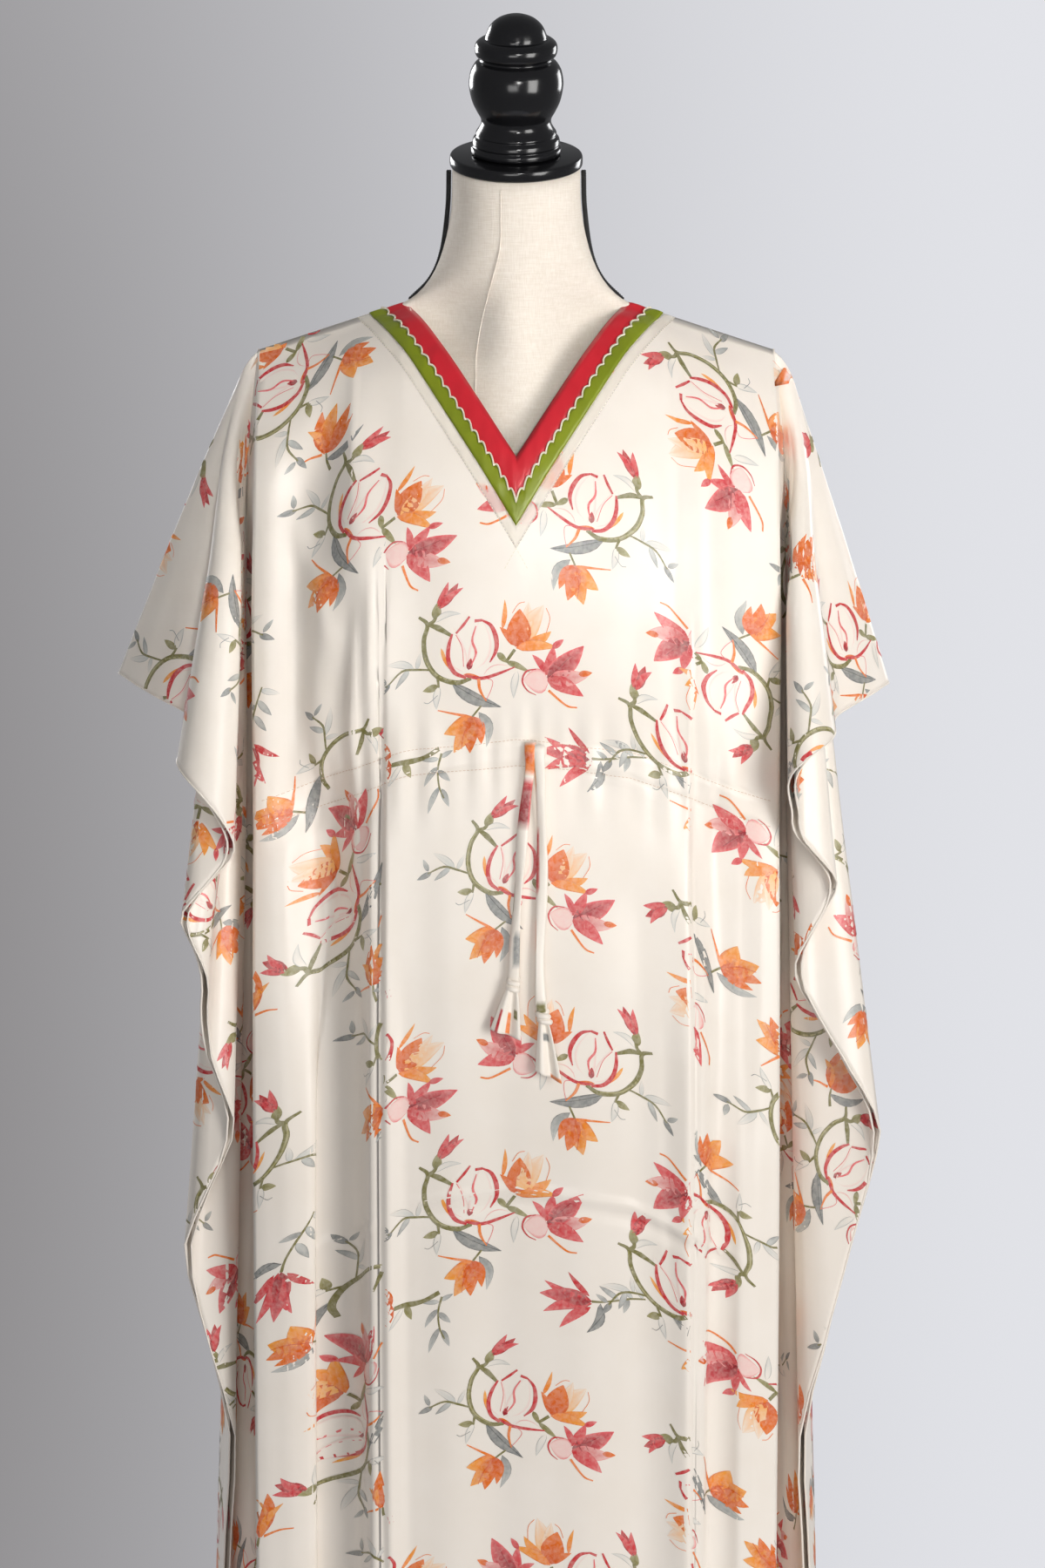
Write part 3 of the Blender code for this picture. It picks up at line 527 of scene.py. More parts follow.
def crease_lift(s, t):
    """Rise of the front cloth off its plain drape, from the table and the casing."""
    lift = np.zeros_like(s)
    for s0, t0, s1, t1, width, height in CREASES:
        run = math.hypot(s1 - s0, t1 - t0)
        ux, uy = (s1 - s0) / run, (t1 - t0) / run
        along = (s - s0) * ux + (t - t0) * uy
        off = (s - s0) * -uy + (t - t0) * ux
        taper = min(CREASE_END, run * 0.4)
        ends = ease(along / taper) * ease((run - along) / taper)
        lift += height * ends * np.exp(-(off / width) ** 2)
    for height, line in FOLD_EDGES:
        places = np.array(line)
        edge = np.interp(t, places[:, 1], places[:, 0])
        share = np.interp(t, places[:, 1], places[:, 2], left=0.0, right=0.0)
        inward = (s - edge) * math.copysign(1.0, height)
        up = 1.0 / (1.0 + np.exp(np.clip(-inward / STEP_BLUR, -40.0, 40.0)))
        high = up * np.exp(-np.maximum(inward, 0.0) / STEP_RAISED)
        low = (1.0 - up) * np.exp(-np.maximum(-inward, 0.0) / STEP_SUNK)
        lift += abs(height) * share * (0.6 * high - 0.4 * low)
    middle = CASING_T + casing_shift(s) + CASING_WIDTH / 2.0
    from_line = np.abs(t - middle) - CASING_WIDTH / 2.0
    reach = np.exp(-(np.maximum(from_line, 0.0) / GATHER_REACH) ** 2)
    (short, strong), (long, weak) = GATHER_WAVES
    ripple = np.sin(s * 2 * np.pi / short + 1.2 * np.sin(s * 41.0)) * strong
    ripple += np.sin(s * 2 * np.pi / long + 2.0) * weak
    lift += GATHER_HEIGHT * ripple * reach
    lift += CASING_RISE * ease((0.0015 - from_line) / 0.003)
    lift -= STITCH_DENT * np.exp(-(from_line / STITCH_DENT_WIDTH) ** 2)
    return lift * ease((CREASES_STOP - np.abs(s)) / CREASES_FADE)


class Panel:
    """Fine grid of one cloth, with a map from the flat cut to its hanging place."""

    def __init__(self, layer):
        self.layer = layer
        self.angles = np.unique(np.concatenate([
            np.linspace(0.0, FOLD_END_ANGLE, FLAP_STEPS), [CORNER_ANGLE, 88.0, 89.2]]))
        n = len(self.angles)
        side = np.concatenate([-np.ones(n), np.sign(CENTRE) + (CENTRE == 0), np.ones(n)])
        s0 = np.concatenate([start_s(self.angles), np.abs(CENTRE), start_s(self.angles[::-1])])
        angle = np.concatenate([self.angles, np.full(len(CENTRE), 90.0), self.angles[::-1]])
        count = len(side)
        grid = np.zeros((count, ROWS, 3))
        gap = np.zeros((count, ROWS))
        self.flat = np.zeros((count, ROWS, 2))
        for i in range(count):
            middle = angle[i] >= 90.0
            first = float(neck_start(s0[i], layer)) if middle else 0.0
            end = LENGTH if middle else float(column_end(s0[i], angle[i]))
            radii = LEVELS * end / LENGTH
            if middle:
                radii = np.where(LEVELS < NECK_ZONE, first + LEVELS * (1.0 - first / NECK_ZONE), LEVELS)
            turn = math.radians(angle[i])
            self.flat[i, :, 0] = side[i] * (s0[i] + radii * (0.0 if middle else math.cos(turn)))
            self.flat[i, :, 1] = radii * math.sin(turn)
            if middle:
                grid[i] = body_column(side[i], s0[i], radii, layer)
            else:
                full = np.full_like(radii, 1.0)
                grid[i] = fan_points(int(side[i]), full * s0[i], full * angle[i], radii, layer)
                gap[i] = layer_gap(full * angle[i], radii, layer)
        self.clear(grid, gap)
        normal = self.normals(grid)
        seam = ease((90.0 - angle) / 10.0)
        up = unit(normal[:, 0, :] * np.array([1.0, 0.0, 1.0]))
        facing = np.array([0.0, -1.0 * layer, 0.0])
        normal[:, 0, :] = unit(up * (1.0 - seam)[:, None] + facing * seam[:, None])
        grid += normal * gap[:, :, None]
        grid[angle < 90.0, :, 1] -= layer * SEAM_SHIFT
        if layer > 0:
            grid += normal * crease_lift(self.flat[..., 0], self.flat[..., 1])[..., None]
        top = normal[:, 0, :].copy()
        normal = self.normals(grid)
        normal[:, 0, :] = top
        self.grid = grid
        self.normal = normal

    def normals(self, grid):
        across = np.gradient(grid, axis=0)
        down = np.gradient(grid, axis=1)
        return unit(np.cross(down, across) * self.layer)

    def clear(self, grid, gap):
        """Moves the body's columns out where they would lie in the form."""
        mesh = FORM.data
        tree = BVHTree.FromPolygons([v.co.copy() for v in mesh.vertices],
                                    [tuple(f.vertices) for f in mesh.polygons])
        need = WALL / 2.0 + FORM_CLEAR
        for i in range(grid.shape[0]):
            if gap[i].max() > 0.0:
                continue
            for j in range(1, grid.shape[1]):
                if grid[i, j, 2] < 0.70:
                    break
                point = Vector(grid[i, j])
                spot, normal, _, away = tree.find_nearest(point)
                signed = away if (point - spot).dot(normal) > 0.0 else -away
                if signed < need:
                    grid[i, j] = point + normal * (need - signed)

    def locate(self, s, t):
        """Column and row of flat places, and whether each lies on the cut."""
        away = np.abs(s)
        n = len(self.angles)
        middle = np.interp(s, CENTRE, n + np.arange(len(CENTRE)))
        angle = np.full_like(s, 90.0)
        for _ in range(8):
            angle = np.degrees(np.arctan2(np.maximum(t, 0.0), np.maximum(away - start_s(angle), 1e-6)))
        radius = np.hypot(np.maximum(away - start_s(angle), 0.0), t)
        track = np.append(self.angles, 90.0)
        place = np.interp(angle, track, np.arange(n + 1))
        mirrored = 2 * n + len(CENTRE) - 1 - place
        in_body = away <= TIP_S
        column = np.where(in_body, middle, np.where(s < 0, place, mirrored))
        first = np.where(in_body, neck_start(s, self.layer), 0.0)
        end = np.where(in_body, LENGTH, column_end(start_s(angle), angle))
        neck = (t - first) / (1.0 - first / NECK_ZONE)
        body = np.where(t < NECK_ZONE, neck, t)
        level = np.where(in_body, body, radius * LENGTH / end)
        row = np.interp(level, LEVELS, np.arange(ROWS))
        good = (level > 0.0) & (level < LENGTH) & (away < HALF_WIDTH)
        return column, row, good

    def at(self, s, t, lift):
        """Hanging places of flat ones, lifted off the cloth, and whether each lies on it."""
        column, row, good = self.locate(s, t)
        i = np.clip(np.floor(column).astype(int), 0, self.grid.shape[0] - 2)
        j = np.clip(np.floor(row).astype(int), 0, ROWS - 2)
        a = (column - i)[:, None]
        b = (row - j)[:, None]

        def mix(grid):
            near = grid[i, j] * (1 - a) + grid[i + 1, j] * a
            far = grid[i, j + 1] * (1 - a) + grid[i + 1, j + 1] * a
            return near * (1 - b) + far * b

        return mix(self.grid) + unit(mix(self.normal)) * np.asarray(lift)[:, None], good

    def shell(self, name):
        """The cloth as a closed wall, with its flat cut as texture places."""
        outer = self.grid + self.normal * (WALL / 2.0)
        inner = self.grid - self.normal * (WALL / 2.0)
        columns, rows = outer.shape[:2]
        half = columns * rows
        points = np.concatenate([outer.reshape(-1, 3), inner.reshape(-1, 3)])
        i, j = np.meshgrid(np.arange(columns - 1), np.arange(rows - 1), indexing="ij")
        a = (i * rows + j).ravel()
        quads = np.stack([a, a + rows, a + rows + 1, a + 1], axis=1)
        if self.layer < 0:
            quads = quads[:, ::-1]
        faces = quads.tolist() + (quads[:, ::-1] + half).tolist()
        rim = [k * rows for k in range(columns)]
        rim += [(columns - 1) * rows + k for k in range(1, rows)]
        rim += [k * rows + rows - 1 for k in range(columns - 2, -1, -1)]
        rim += list(range(rows - 2, 0, -1))
        for here, there in zip(rim, rim[1:] + rim[:1]):
            quad = (here, here + half, there + half, there)
            faces.append(quad if self.layer > 0 else quad[::-1])
        made = mesh_object(name, points, faces)
        flat = np.concatenate([self.flat.reshape(-1, 2)] * 2)
        layer = made.data.uv_layers.new(name="Flat")
        loops = np.zeros(len(made.data.loops), dtype=np.int64)
        made.data.loops.foreach_get("vertex_index", loops)
        layer.data.foreach_set("uv", flat[loops].ravel().astype(np.float32))
        return made


FRONT = Panel(1)
BACK = Panel(-1)
front_cloth = FRONT.shell("front_cloth")
back_cloth = BACK.shell("back_cloth")


# node helpers
def new_material(name):
    made = bpy.data.materials.new(name)
    made.use_nodes = True
    tree = made.node_tree
    return made, tree, tree.nodes["Principled BSDF"]


def feed(tree, made, inputs):
    """Sets a node's inputs, and links those that are given another node's socket."""
    for key, value in inputs.items():
        if isinstance(value, bpy.types.NodeSocket):
            tree.links.new(value, made.inputs[key])
        else:
            made.inputs[key].default_value = value


def add_node(tree, kind, inputs, **settings):
    """New node of a kind. Its settings come first, because they decide its inputs."""
    made = tree.nodes.new("ShaderNode" + kind)
    for key, value in settings.items():
        setattr(made, key, value)
    feed(tree, made, inputs)
    return made


def noise(tree, scale, detail=2.0, distortion=0.0):
    """Noise in the object's own metres."""
    where = add_node(tree, "TexCoord", {}).outputs["Object"]
    return add_node(tree, "TexNoise", {"Vector": where, "Scale": scale, "Detail": detail,
                                       "Distortion": distortion}).outputs["Fac"]


def bump(tree, height, strength, distance, **over):
    return add_node(tree, "Bump", {"Height": height, "Strength": strength, "Distance": distance,
                                   **over}).outputs["Normal"]


def spread(tree, value, low, high, start=0.0, stop=1.0, **settings):
    """A value that runs from start to stop, carried over to low to high."""
    return add_node(tree, "MapRange", {"Value": value, "From Min": start, "From Max": stop,
                                       "To Min": low, "To Max": high}, **settings).outputs["Result"]


def colour_mix(tree, low, high, share):
    """Colour from low to high by a share. Each end is a linear colour or a socket."""
    ends = [(*end, 1.0) if isinstance(end, tuple) else end for end in (low, high)]
    return add_node(tree, "Mix", {"A": ends[0], "B": ends[1], "Factor": share},
                    data_type="RGBA").outputs["Result"]


def cloth_finish(tree, shader, weave=0.05):
    """Satin: soft glossy ground with a fine thread and slow unevenness."""
    slow = noise(tree, 26.0, 3.0)
    threads = bump(tree, noise(tree, 1500.0), weave, 0.0004)
    feed(tree, shader, {"Normal": bump(tree, slow, 0.10, 0.004, Normal=threads), "Roughness": 0.36,
                        "Specular IOR Level": 0.55, "Sheen Weight": 0.15, "Sheen Roughness": 0.4})
    return slow


def two_tone_satin(name, low, high, weave=0.05, roughness=0.36):
    made, tree, shader = new_material(name)
    slow = cloth_finish(tree, shader, weave)
    feed(tree, shader, {"Base Color": colour_mix(tree, low, high, slow), "Roughness": roughness})
    return made


GROUND = lin(246, 237, 225)


def ink_material():
    """Print: each point's own colour, washed out in places towards the ground."""
    made, tree, shader = new_material("printed_ink")
    cloth_finish(tree, shader)
    ink = add_node(tree, "Attribute", {}, attribute_name="Ink").outputs["Color"]
    wash = spread(tree, noise(tree, 260.0, 4.0, 0.6), 0.0, 0.26, 0.35, 0.75)
    feed(tree, shader, {"Base Color": colour_mix(tree, ink, GROUND, wash)})
    return made


SATIN = two_tone_satin("cream_satin", lin(242, 232, 219), lin(248, 240, 230))
INK = ink_material()
for cloth in (front_cloth, back_cloth):
    cloth.data.materials.append(SATIN)

# print colours
CRIMSON = lin(204, 36, 44)
DEEP = lin(152, 24, 36)
PINK = lin(234, 104, 106)
BLUSH = lin(246, 208, 200)
ORANGE = lin(240, 122, 6)
RUST = lin(214, 84, 0)
PEACH = lin(248, 170, 66)
OLIVE = lin(122, 116, 60)
MOSS = lin(168, 160, 108)
GREY = lin(140, 141, 138)
SLATE = lin(88, 89, 88)
MIST = lin(206, 206, 200)
PAPER = GROUND


class Ink:
    """Flat shapes of the print, later laid on a cloth."""

    def __init__(self):
        self.points = []
        self.colours = []
        self.lifts = []
        self.faces = []
        self.level = 0

    def grid(self, rows, colours):
        start = len(self.points)
        count = len(rows[0])
        for row, shades in zip(rows, colours):
            for point, shade in zip(row, shades):
                self.points.append(point)
                self.colours.append(shade)
                self.lifts.append(self.level)
        self.faces += grid_quads(len(rows), count, start)
        self.level += 1


def blend_colour(a, b, share):
    return tuple(x + (y - x) * share for x, y in zip(a, b))


# steps along a petal, how far down it is widest, and its tracks from edge to edge
PETAL_STEPS = 7
PETAL_FAT = 0.75
PETAL_TRACKS = (-1.0, -0.72, 0.0, 0.72, 1.0)


def petal(ink, base, tip, width, bend, root, end, edge):
    """Leaf shape from base to tip, widest past its middle, shaded root to end."""
    base, tip = np.array(base, float), np.array(tip, float)
    way = tip - base
    run = np.linalg.norm(way)
    way = way / run
    off = np.array([-way[1], way[0]])
    rows, shades = [], []
    for k in range(PETAL_STEPS + 1):
        u = k / PETAL_STEPS
        half = 0.5 * width * math.sin(math.pi * u ** PETAL_FAT) ** 0.8 if 0 < u < 1 else 0.02 * width
        mid = base + way * run * u + off * bend * math.sin(math.pi * u)
        rows.append([tuple(mid + off * half * side) for side in PETAL_TRACKS])
        tint = blend_colour(root, end, u)
        rim = blend_colour(edge, end, u * 0.5) if edge else tint
        shades.append([rim, tint, blend_colour(tint, root, 0.35), tint, rim])
    ink.grid(rows, shades)


def stroke(ink, colour, widths, points, per=4):
    """Line through points with a width at each."""
    line, where = spline(points, per)
    if np.ndim(widths) == 0:
        widths = [widths] * len(points)
    wide = np.interp(where, np.arange(len(points)), widths)
    way = unit(np.gradient(line, axis=0))
    off = np.stack([-way[:, 1], way[:, 0]], axis=1)
    rows = [[tuple(p - o * w / 2), tuple(p + o * w / 2)] for p, o, w in zip(line, off, wide)]
    ink.grid(rows, [[colour, colour]] * len(rows))


# petals of the spray, millimetres: base, tip, width, bend, root, end and edge colour
SPRAY_PETALS = (
    ((-44, -40), (-43, -53), 8, 0, OLIVE, MOSS, None),
    ((-42, -49), (-26, -66), 8, 1, DEEP, CRIMSON, None),
    ((-43, -50), (-34, -68), 6, 1, CRIMSON, PINK, DEEP),
    ((-41, -48), (-22, -62), 6, -2, CRIMSON, PINK, DEEP),
    ((-46, -38), (-24, -42), 5, -3, PAPER, MIST, GREY),
    ((-22, 4), (-31, -33), 15, -2, PAPER, PAPER, BLUSH),
    ((-14, 4), (-8, -36), 18, 3, PAPER, PAPER, BLUSH),
    ((-18, 3), (-16, -6), 5, 0, DEEP, CRIMSON, None),
    ((-22, 6), (-6, 12), 4, 0, ORANGE, RUST, None),
    ((-40, -17), (-32, 2), 3, 1, PEACH, ORANGE, None),
    ((-6, 9), (16, 5), 8, -2, PAPER, PAPER, PINK),
    ((26, -14), (42, -46), 15, -2, PEACH, PAPER, PEACH),
    ((22, -12), (30, -47), 12, 2, PEACH, PAPER, PEACH),
    ((20, -11), (23, -41), 20, 1, RUST, ORANGE, RUST),
    ((19, -12), (7, -28), 6, 1, RUST, ORANGE, None),
    ((9, -26), (11, -49), 4, 1, ORANGE, PEACH, ORANGE),
    ((29, -15), (48, -26), 8, 2, ORANGE, PEACH, None),
    ((20, -10), (53, -14), 9, -2, ORANGE, PEACH, RUST),
    ((5, -8), (13, 1), 5, 0, OLIVE, MOSS, None),
    ((12, 0), (31, 8), 5, 0, OLIVE, MOSS, None),
    ((46, 14), (26, 15), 20, 0, BLUSH, BLUSH, PINK),
    ((44, 7), (33, -6), 6, 1, CRIMSON, PINK, None),
    ((44, 9), (50, -15), 9, 1, CRIMSON, PINK, None),
    ((45, 10), (74, -18), 16, 2, DEEP, PINK, PINK),
    ((45, 12), (79, 4), 13, 1, CRIMSON, BLUSH, PINK),
    ((45, 13), (74, 22), 13, -2, CRIMSON, PINK, CRIMSON),
    ((49, -13), (58, -21), 5, 0, CRIMSON, PINK, None),
    ((70, 5), (81, 2), 5, 0, RUST, ORANGE, None),
    ((21, 8), (18, 30), 6, 1, PAPER, MIST, GREY),
    ((-31, 13), (8, 36), 10, 3, GREY, GREY, SLATE),
    ((-42, 13), (-55, 15), 6, 0, OLIVE, MOSS, None),
    ((-42, 13), (-44, 31), 6, 1, PAPER, MIST, GREY),
    ((-60, -3), (-57, -16), 4, 0, MIST, PAPER, GREY),
    ((-62, -4), (-84, -14), 6, 1, MIST, PAPER, GREY),
    ((-66, -4), (-77, 8), 5, 0, MIST, GREY, GREY),
    ((-81, 2), (-92, 9), 5, 0, GREY, GREY, SLATE),
    ((-84, 1), (-91, -8), 4, 0, GREY, MIST, SLATE),
    ((-10, 38), (-4, 67), 8, -5, GREY, MIST, SLATE),
    ((-14, 41), (-8, 64), 9, -2, RUST, ORANGE, None),
    ((-15, 41), (-38, 52), 14, -2, ORANGE, PEACH, RUST),
    ((-15, 41), (-30, 68), 15, -1, RUST, PEACH, ORANGE),
    ((-15, 41), (-17, 70), 13, 1, RUST, ORANGE, RUST),
)
# lines of the spray: colour, widths, points
SPRAY_STROKES = (
    (OLIVE, (2.0, 3.4, 3.8, 4.0, 3.8, 4.0, 3.0),
     ((-58, -44), (-51, -37), (-54, -25), (-52, -9), (-43, 5), (-28, 12), (-16, 10))),
    (MOSS, (0.8, 1.2, 1.2, 1.2, 0.8),
     ((-52, -36), (-54.5, -25), (-52.6, -9), (-43.5, 4), (-28, 11))),
    (OLIVE, (2.6, 4.6, 2.4), ((-50, -37), (-42, -33), (-32, -26))),
    (OLIVE, 3.0, ((-51, -37), (-46, -39), (-44, -43))),
    (CRIMSON, (1.6, 2.4, 1.6), ((-17, -39), (-22, -33), (-28, -27))),
    (CRIMSON, (1.6, 3.2, 3.6, 3.2, 2.2), ((-31, -27), (-34, -17), (-34, -6), (-29, 4), (-20, 9))),
    (CRIMSON, (1.4, 2.8, 3.8, 3.2, 1.0), ((-7, -35), (0, -30), (4, -20), (4, -10), (-1, -1))),
    (PINK, (0.8, 1.8, 2.0, 0.8), ((-12, -31), (-15, -20), (-12, -10), (-16, 0))),
    (PINK, 0.6, ((-28, -26), (-23, -15), (-22, 0))),
    (CRIMSON, (2.4, 2.0), ((-13, -35), (-7, -35))),
    (CRIMSON, (2.0, 2.8, 2.6, 1.0), ((-21, 7), (-8, 11), (5, 9), (19, 5))),
    (PINK, 0.5, ((-6, 11), (1, 14), (0, 21), (-4, 29))),
    (ORANGE, (2.6, 2.2, 0.8), ((-10, 11), (-9, 20), (-4, 30))),
    (CRIMSON, (0.8, 1.5, 1.5, 1.2, 0.6), ((36, 5), (28, 8), (25, 16), (29, 23), (36, 26))),
    (DEEP, (1.4, 0.8, 0.4), ((45, 11), (55, 1), (64, -9))),
    (ORANGE, (2.2, 1.8, 1.6, 1.2), ((46, 21), (55, 28), (62, 32), (69, 32))),
    (OLIVE, (1.4, 1.8, 1.8, 1.2), ((-49, -1), (-60, -3), (-72, -4), (-84, 3))),
    (OLIVE, (2.4, 1.6), ((-43, 5), (-42, 14))),
    (OLIVE, 2.6, ((12, 0), (19, -9))),
    (SLATE, 0.6, ((-30, 13), (-12, 26), (7, 36))),
    (GREY, 0.5, ((-43, 20), (-50, 25), (-54, 24))),
    (OLIVE, 1.6, ((-8, 33), (-15, 41))),
    (ORANGE, (2.4, 1.6, 0.8), ((-20, 40), (-32, 36), (-43, 32))),
    (RUST, (0.6, 0.9, 0.5), ((-15, 42), (-22, 54), (-24, 66))),
    (ORANGE, 0.5, ((17, -38), (22, -45), (27, -47))),
    (ORANGE, 0.5, ((44, -44), (47, -36), (44, -24))),
)
TULIP_PETALS = (
    ((18, -2), (-20, -14), 9, -3, CRIMSON, PINK, DEEP),
    ((18, -2), (-24, -3), 14, 1, DEEP, PINK, CRIMSON),
    ((18, 0), (-21, 12), 10, 3, CRIMSON, PINK, DEEP),
    ((17, 3), (-8, 24), 8, 2, CRIMSON, PINK, None),
    ((16, -6), (-1, -24), 5, -1, CRIMSON, CRIMSON, None),
    ((16, -1), (-6, 0), 7, 0, DEEP, CRIMSON, None),
    ((25, -1), (14, 25), 8, -5, GREY, GREY, SLATE),
    ((40, -7), (24, -16), 5, 0, MIST, GREY, GREY),
    ((52, -10), (36, -20), 5, 0, MIST, GREY, GREY),
    ((48, -9), (44, 4), 5, 0, GREY, MIST, SLATE),
    ((60, -13), (52, -26), 5, 0, MIST, PAPER, GREY),
)
TULIP_STROKES = (
    (OLIVE, (2.2, 1.6, 1.6, 1.2), ((18, -2), (28, -3), (46, -8), (62, -14))),
    (SLATE, 0.6, ((25, -1), (27, 8), (15, 24))),
)
SPRIG_PETALS = (
    ((0, 0), (-24, -6), 12, 1, RUST, ORANGE, RUST),
    ((0, 1), (-21, 14), 12, -1, RUST, ORANGE, RUST),
    ((-2, -3), (-11, -24), 7, 1, RUST, ORANGE, None),
    ((10, 2), (15, 15), 6, 0, OLIVE, MOSS, None),
    ((8, 3), (-4, 17), 5, 0, PAPER, MIST, GREY),
    ((38, 4), (24, 3), 4, 0, MIST, GREY, GREY),
    ((39, 3), (49, -1), 4, 0, MIST, GREY, GREY),
    ((37, 10), (26, 24), 5, 1, GREY, MIST, SLATE),
    ((37, 13), (47, 23), 5, 0, GREY, MIST, SLATE),
    ((38, 26), (29, 46), 5, 1, GREY, MIST, SLATE),
    ((40, 28), (46, 43), 5, 0, GREY, MIST, SLATE),
)
SPRIG_STROKES = (
    (OLIVE, (3.4, 4.6, 3.6, 3.8), ((0, 0), (14, 2), (26, 1), (38, -4))),
    (OLIVE, (2.0, 1.4, 1.4, 1.0), ((40, 0), (37, 12), (38, 26), (42, 36))),
)
BLOOM_PETALS = (
    ((0, 0), (-22, -24), 12, -3, RUST, ORANGE, RUST),
    ((0, 0), (-13, -33), 15, -2, RUST, PEACH, ORANGE),
    ((0, 0), (1, -36), 12, 2, RUST, ORANGE, RUST),
    ((-1, 1), (-24, -8), 8, 4, ORANGE, PEACH, RUST),
    ((0, 0), (9, -30), 7, 4, RUST, ORANGE, None),
    ((3, 4), (24, -26), 7, 6, GREY, GREY, SLATE),
)
BLOOM_STROKES = (
    (OLIVE, (1.6, 2.2, 2.6), ((0, 0), (5, 5), (12, 9))),
    (ORANGE, (2.2, 1.4, 0.8), ((-3, 2), (-12, 8), (-17, 14))),
)
# part of the spray without its two right hand flowers
BRANCH_REACH = 18
BRANCH_PETALS = tuple(row for row in SPRAY_PETALS if max(row[0][0], row[1][0]) < BRANCH_REACH)
BRANCH_STROKES = tuple(row for row in SPRAY_STROKES if max(p[0] for p in row[2]) < BRANCH_REACH + 2)
TWIG_PETALS = tuple(row for row in BRANCH_PETALS if row[0][0] <= -41 or row[0][1] >= 13)
TWIG_STROKES = tuple(row for row in BRANCH_STROKES if row[0] not in (CRIMSON, PINK)
                     and (row[0] != ORANGE or row[2][0][1] > 30))
MOTIFS = {
    "twig": (TWIG_PETALS, TWIG_STROKES),
    "bloom": (BLOOM_PETALS, BLOOM_STROKES),
    "branch": (BRANCH_PETALS, BRANCH_STROKES),
    "spray": (SPRAY_PETALS, SPRAY_STROKES),
    "tulip": (TULIP_PETALS, TULIP_STROKES),
    "sprig": (SPRIG_PETALS, SPRIG_STROKES),
}
# one repeat of the print: motif, across, down, turn in degrees, size, mirrored
REPEAT_ACROSS = 0.640
REPEAT_DOWN = 0.440
REPEAT = (
    ("spray", -0.020, 0.319, 0.0, 1.00, False),
    ("spray", 0.007, 0.497, 15.0, 0.95, False),
    ("spray", 0.044, 0.197, 16.0, 0.97, True),
    ("tulip", 0.043, 0.392, 0.0, 1.00, False),
    ("sprig", -0.100, 0.386, 0.0, 1.00, False),
    ("spray", -0.184, 0.027, -90.0, 0.98, False),
    ("spray", -0.117, 0.190, 34.0, 0.98, False),
    ("bloom", -0.158, 0.113, 40.0, 1.00, False),
    ("twig", -0.186, 0.396, 88.0, 0.94, False),
    ("tulip", -0.245, 0.330, 100.0, 0.95, True),
    ("branch", 0.152, 0.358, -21.0, 1.00, False),
    ("spray", 0.169, 0.0895, -90.0, 0.98, True),
    ("spray", 0.182, 0.281, 180.0, 0.96, False),
    ("spray", 0.288, 0.150, 155.0, 0.95, True),
    ("spray", 0.268, 0.405, 176.0, 0.95, False),
    ("spray", -0.290, 0.215, 12.0, 0.95, True),
    ("bloom", -0.262, 0.092, -30.0, 1.10, True),
)
# cloth taken up behind the two main fold edges: down and width at each place
TUCK_LEFT = ((0.200, 0.000), (0.400, 0.040), (1.320, 0.055))
TUCK_RIGHT = ((0.220, 0.000), (0.300, 0.028), (0.400, 0.036), (1.320, 0.050))


def tucked(s, t):
    """Moves flat places of the print past the tucks and says which stay in sight."""
    out, seen = s.copy(), np.ones(len(s), bool)
    for side, edge, tuck in ((-1, -EDGE_LEFT, TUCK_LEFT), (1, EDGE_RIGHT, TUCK_RIGHT)):
        rows = np.array(tuck)
        wide = np.interp(t, rows[:, 0], rows[:, 1])
        past = s * side > edge
        seen &= ~(past & (s * side < edge + wide))
        out = np.where(past, s - side * wide, out)
    return out, seen


def motif_shapes(name):
    ink = Ink()
    petals, strokes = MOTIFS[name]
    for row in petals:
        petal(ink, *row)
    for colour, widths, points in strokes:
        stroke(ink, colour, widths, points)
    return ink


SHAPES = {name: motif_shapes(name) for name in MOTIFS}


# height of the print off the cloth and of each shape off the one before
INK_RISE = 0.00010
INK_STEP = 0.0000035
# the inner face is printed from here out, past the side seam's enclosed part
INSIDE_FROM = 0.280


def paint(obj, colours):
    """Gives each point of a printed piece its colour."""
    tint = obj.data.color_attributes.new("Ink", "FLOAT_COLOR", "POINT")
    rgba = np.concatenate([np.array(colours), np.ones((len(colours), 1))], axis=1)
    tint.data.foreach_set("color", rgba.ravel().astype(np.float32))


def print_cloth(name, panel, side=1.0):
    """Lays the print on one face of a cloth, the inner face only past the body."""
    points, colours, lifts, faces = [], [], [], []
    total = 0
    for row in range(-1, 4):
        for column in (-1, 0, 1):
            for motif, ds, dt, turn, size, mirrored in REPEAT:
                s = ds + column * REPEAT_ACROSS
                t = dt + row * REPEAT_DOWN
                if abs(s) > HALF_WIDTH + 0.15 or not -0.09 < t < LENGTH + 0.09:
                    continue
                ink = SHAPES[motif]
                local = np.array(ink.points) * 0.001 * size
                if mirrored:
                    local[:, 0] *= -1.0
                c, d = math.cos(math.radians(turn)), math.sin(math.radians(turn))
                laid = np.stack([local[:, 0] * c - local[:, 1] * d,
                                 local[:, 0] * d + local[:, 1] * c], axis=1)
                points.append(laid + np.array([s, t]))
                colours.append(np.array(ink.colours))
                lifts.append(np.array(ink.lifts, float))
                faces.append(np.array(ink.faces) + total)
                total += len(local)
    flat, colour, lift, face = [np.concatenate(part) for part in (points, colours, lifts, faces)]
    height = side * (WALL / 2.0 + INK_RISE + INK_STEP * lift)
    across, seen = tucked(flat[:, 0], flat[:, 1])
    place, good = panel.at(across, flat[:, 1], height)
    good &= seen & ((side > 0) | (np.abs(across) > INSIDE_FROM))
    face = face[good[face].all(axis=1)]
    used = np.unique(face)
    index = np.full(len(place), -1)
    index[used] = np.arange(len(used))
    made = mesh_object(name, place[used], index[face], INK)
    paint(made, colour[used])
    return made


